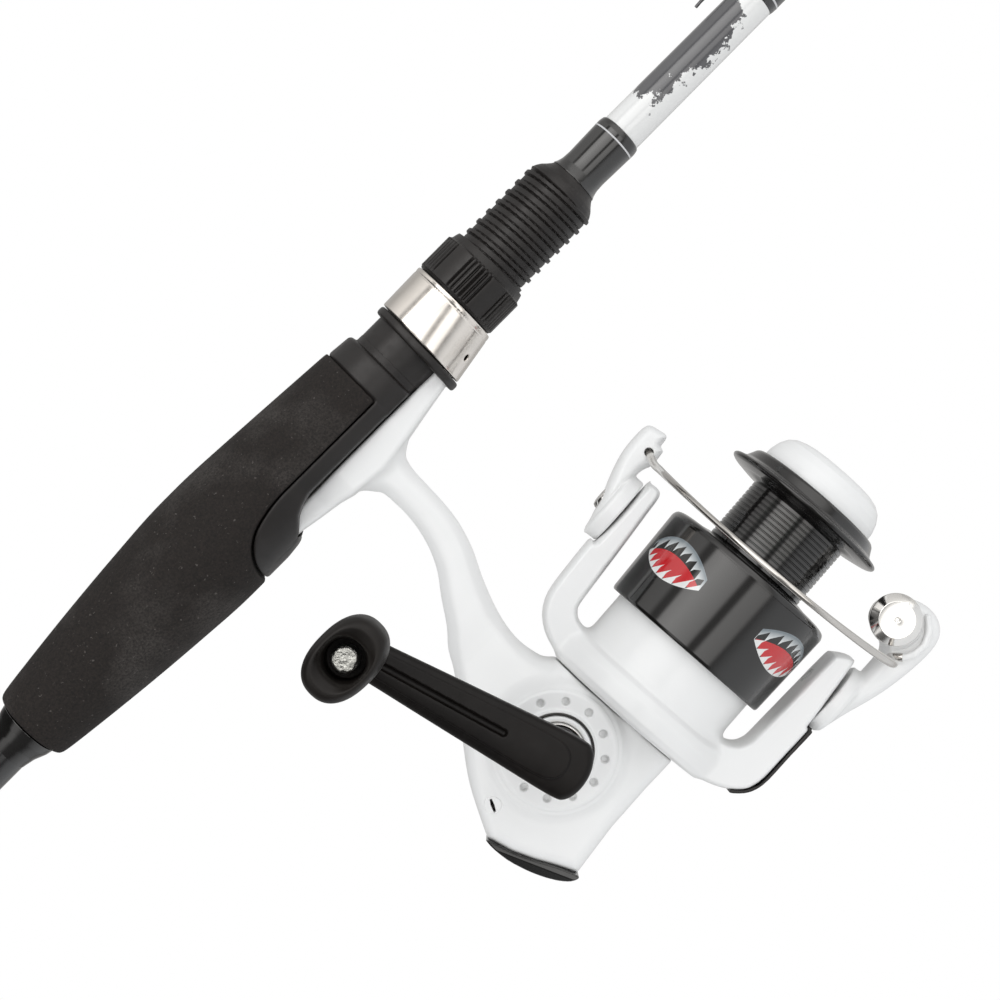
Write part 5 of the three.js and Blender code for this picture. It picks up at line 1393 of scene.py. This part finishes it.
def build_floor():
    """A pale floor that fades out at its rim."""
    x, z = FLOOR_CENTRE
    angles = np.linspace(0, 2 * np.pi, 96, endpoint=False)
    mesh = bpy.data.meshes.new("floor")
    mesh.from_pydata([(x + 1.9 * math.cos(a), 1.05 * math.sin(a), z) for a in angles], [],
                     [tuple(range(96))])
    new_object("floor", mesh)
    mat = bpy.data.materials.new("floor")
    mesh.materials.append(mat)
    tree = Tree(mat)
    bsdf = tree.nodes["Principled BSDF"]
    tree.fill(bsdf.inputs["Base Color"], (0.86, 0.86, 0.86, 1))
    tree.fill(bsdf.inputs["Roughness"], 0.9)
    coords = tree.node("ShaderNodeTexCoord").outputs["Object"]
    to_rim = {"Vector": coords, "Location": (-x / FADE_REACH, 0, 0), "Scale": (1 / FADE_REACH, 1, 0)}
    mapped = tree.node("ShaderNodeMapping", to_rim).outputs[0]
    far = tree.node("ShaderNodeVectorMath", {0: mapped}, operation="LENGTH").outputs["Value"]
    ends = {"Value": far, "From Min": 0.35, "From Max": 1.0}
    fade = tree.node("ShaderNodeMapRange", ends, interpolation_type="SMOOTHERSTEP").outputs[0]
    clear = tree.node("ShaderNodeBsdfTransparent").outputs[0]
    mix = tree.node("ShaderNodeMixShader", {0: fade, 1: bsdf.outputs[0], 2: clear})
    tree.fill(tree.nodes["Material Output"].inputs["Surface"], mix.outputs[0])


def build_world():
    """White to the camera, an even light on the pieces, and striped panels for gloss to mirror."""
    world = bpy.data.worlds.new("studio")
    bpy.context.scene.world = world
    tree = Tree(world)
    lit = tree.nodes["Background"]
    tree.fill(lit.inputs["Color"], (0.97, 0.985, 1.0, 1))
    tree.fill(lit.inputs["Strength"], WORLD_LIGHT)
    seen = tree.node("ShaderNodeBackground", {"Color": (1, 1, 1, 1), "Strength": 1.0})
    around = tree.node("ShaderNodeTexCoord").outputs["Generated"]
    where = tree.node("ShaderNodeSeparateXYZ", {0: around}).outputs
    rise = tree.math("ARCTAN2", where["Z"], tree.mul(where["Y"], -1.0))
    turn = tree.add(tree.math("DIVIDE", rise, 2 * math.pi), 0.5)

    def panels(stops):
        ramp = tree.node("ShaderNodeValToRGB", {0: turn})
        elements = ramp.color_ramp.elements
        for i, (degrees, level) in enumerate(stops):
            at = degrees / 360 + 0.5
            stop = elements[i] if i < 2 else elements.new(at)
            stop.position = at
            level = level / BRIGHTEST
            stop.color = (level, level * 0.985, level * 0.965, 1)
        return ramp.outputs[0]

    colour = panels(PANELS_LEFT)
    for edge, stops in ((-0.26, PANELS), (0.30, PANELS_RIGHT)):
        colour = tree.mix(tree.span(where["X"], edge - 0.06, edge + 0.06), colour, panels(stops))
    mirrored = tree.node("ShaderNodeBackground", {"Color": colour, "Strength": BRIGHTEST})
    rays = tree.node("ShaderNodeLightPath").outputs
    shader = lit
    for ray, other in (("Is Glossy Ray", mirrored), ("Is Camera Ray", seen)):
        shader = tree.node("ShaderNodeMixShader", {0: rays[ray], 1: shader.outputs[0],
            2: other.outputs[0]})
    tree.fill(tree.nodes["World Output"].inputs["Surface"], shader.outputs[0])


def build_lamps():
    """Softboxes that light the pieces and don't show in gloss, which mirrors the panels instead."""
    for name, spot, size, power, tint in LIGHTS:
        data = bpy.data.lights.new(name, "AREA")
        data.shape = "RECTANGLE"
        data.size, data.size_y = size
        data.energy = power
        data.color = tint
        lamp = new_object(name, data)
        lamp.location = spot
        lamp.visible_glossy = False
        lamp.rotation_euler = (Vector(AIM) - Vector(spot)).to_track_quat("-Z", "Y").to_euler()


def build_camera():
    """Level camera square to the rod's plane, rolled so that the rod rises to the right."""
    data = bpy.data.cameras.new("camera")
    data.sensor_width = 36.0
    data.lens = data.sensor_width * VIEW_DISTANCE / VIEW_WIDTH
    data.clip_start, data.clip_end = 0.01, 50
    camera = new_object("camera", data)
    scene = bpy.context.scene
    scene.camera = camera
    c, s = math.cos(math.radians(ROLL)), math.sin(math.radians(ROLL))
    camera.matrix_world = Matrix((
        (c, s, 0, VIEW_CENTRE[0]),
        (0, 0, -1, -VIEW_DISTANCE),
        (-s, c, 0, VIEW_CENTRE[1]),
        (0, 0, 0, 1),
    ))
    scene.view_settings.view_transform = "Standard"
    scene.view_settings.look = "None"


wrap = build_blanks()
build_grip()
build_seat()
build_hood_and_nut()
build_guides(wrap)
build_housing()
build_boss_face()
build_rear_trim()
build_cover_screws()
build_lever()
build_crank()
build_collar()
build_knob()
build_rotor()
build_rotor_parts()
build_upper_bail_arm()
build_lower_bail_arm()
build_wire()
build_spool()
build_drag_knob()
dress_inside()
build_floor()
build_world()
build_lamps()
build_camera()
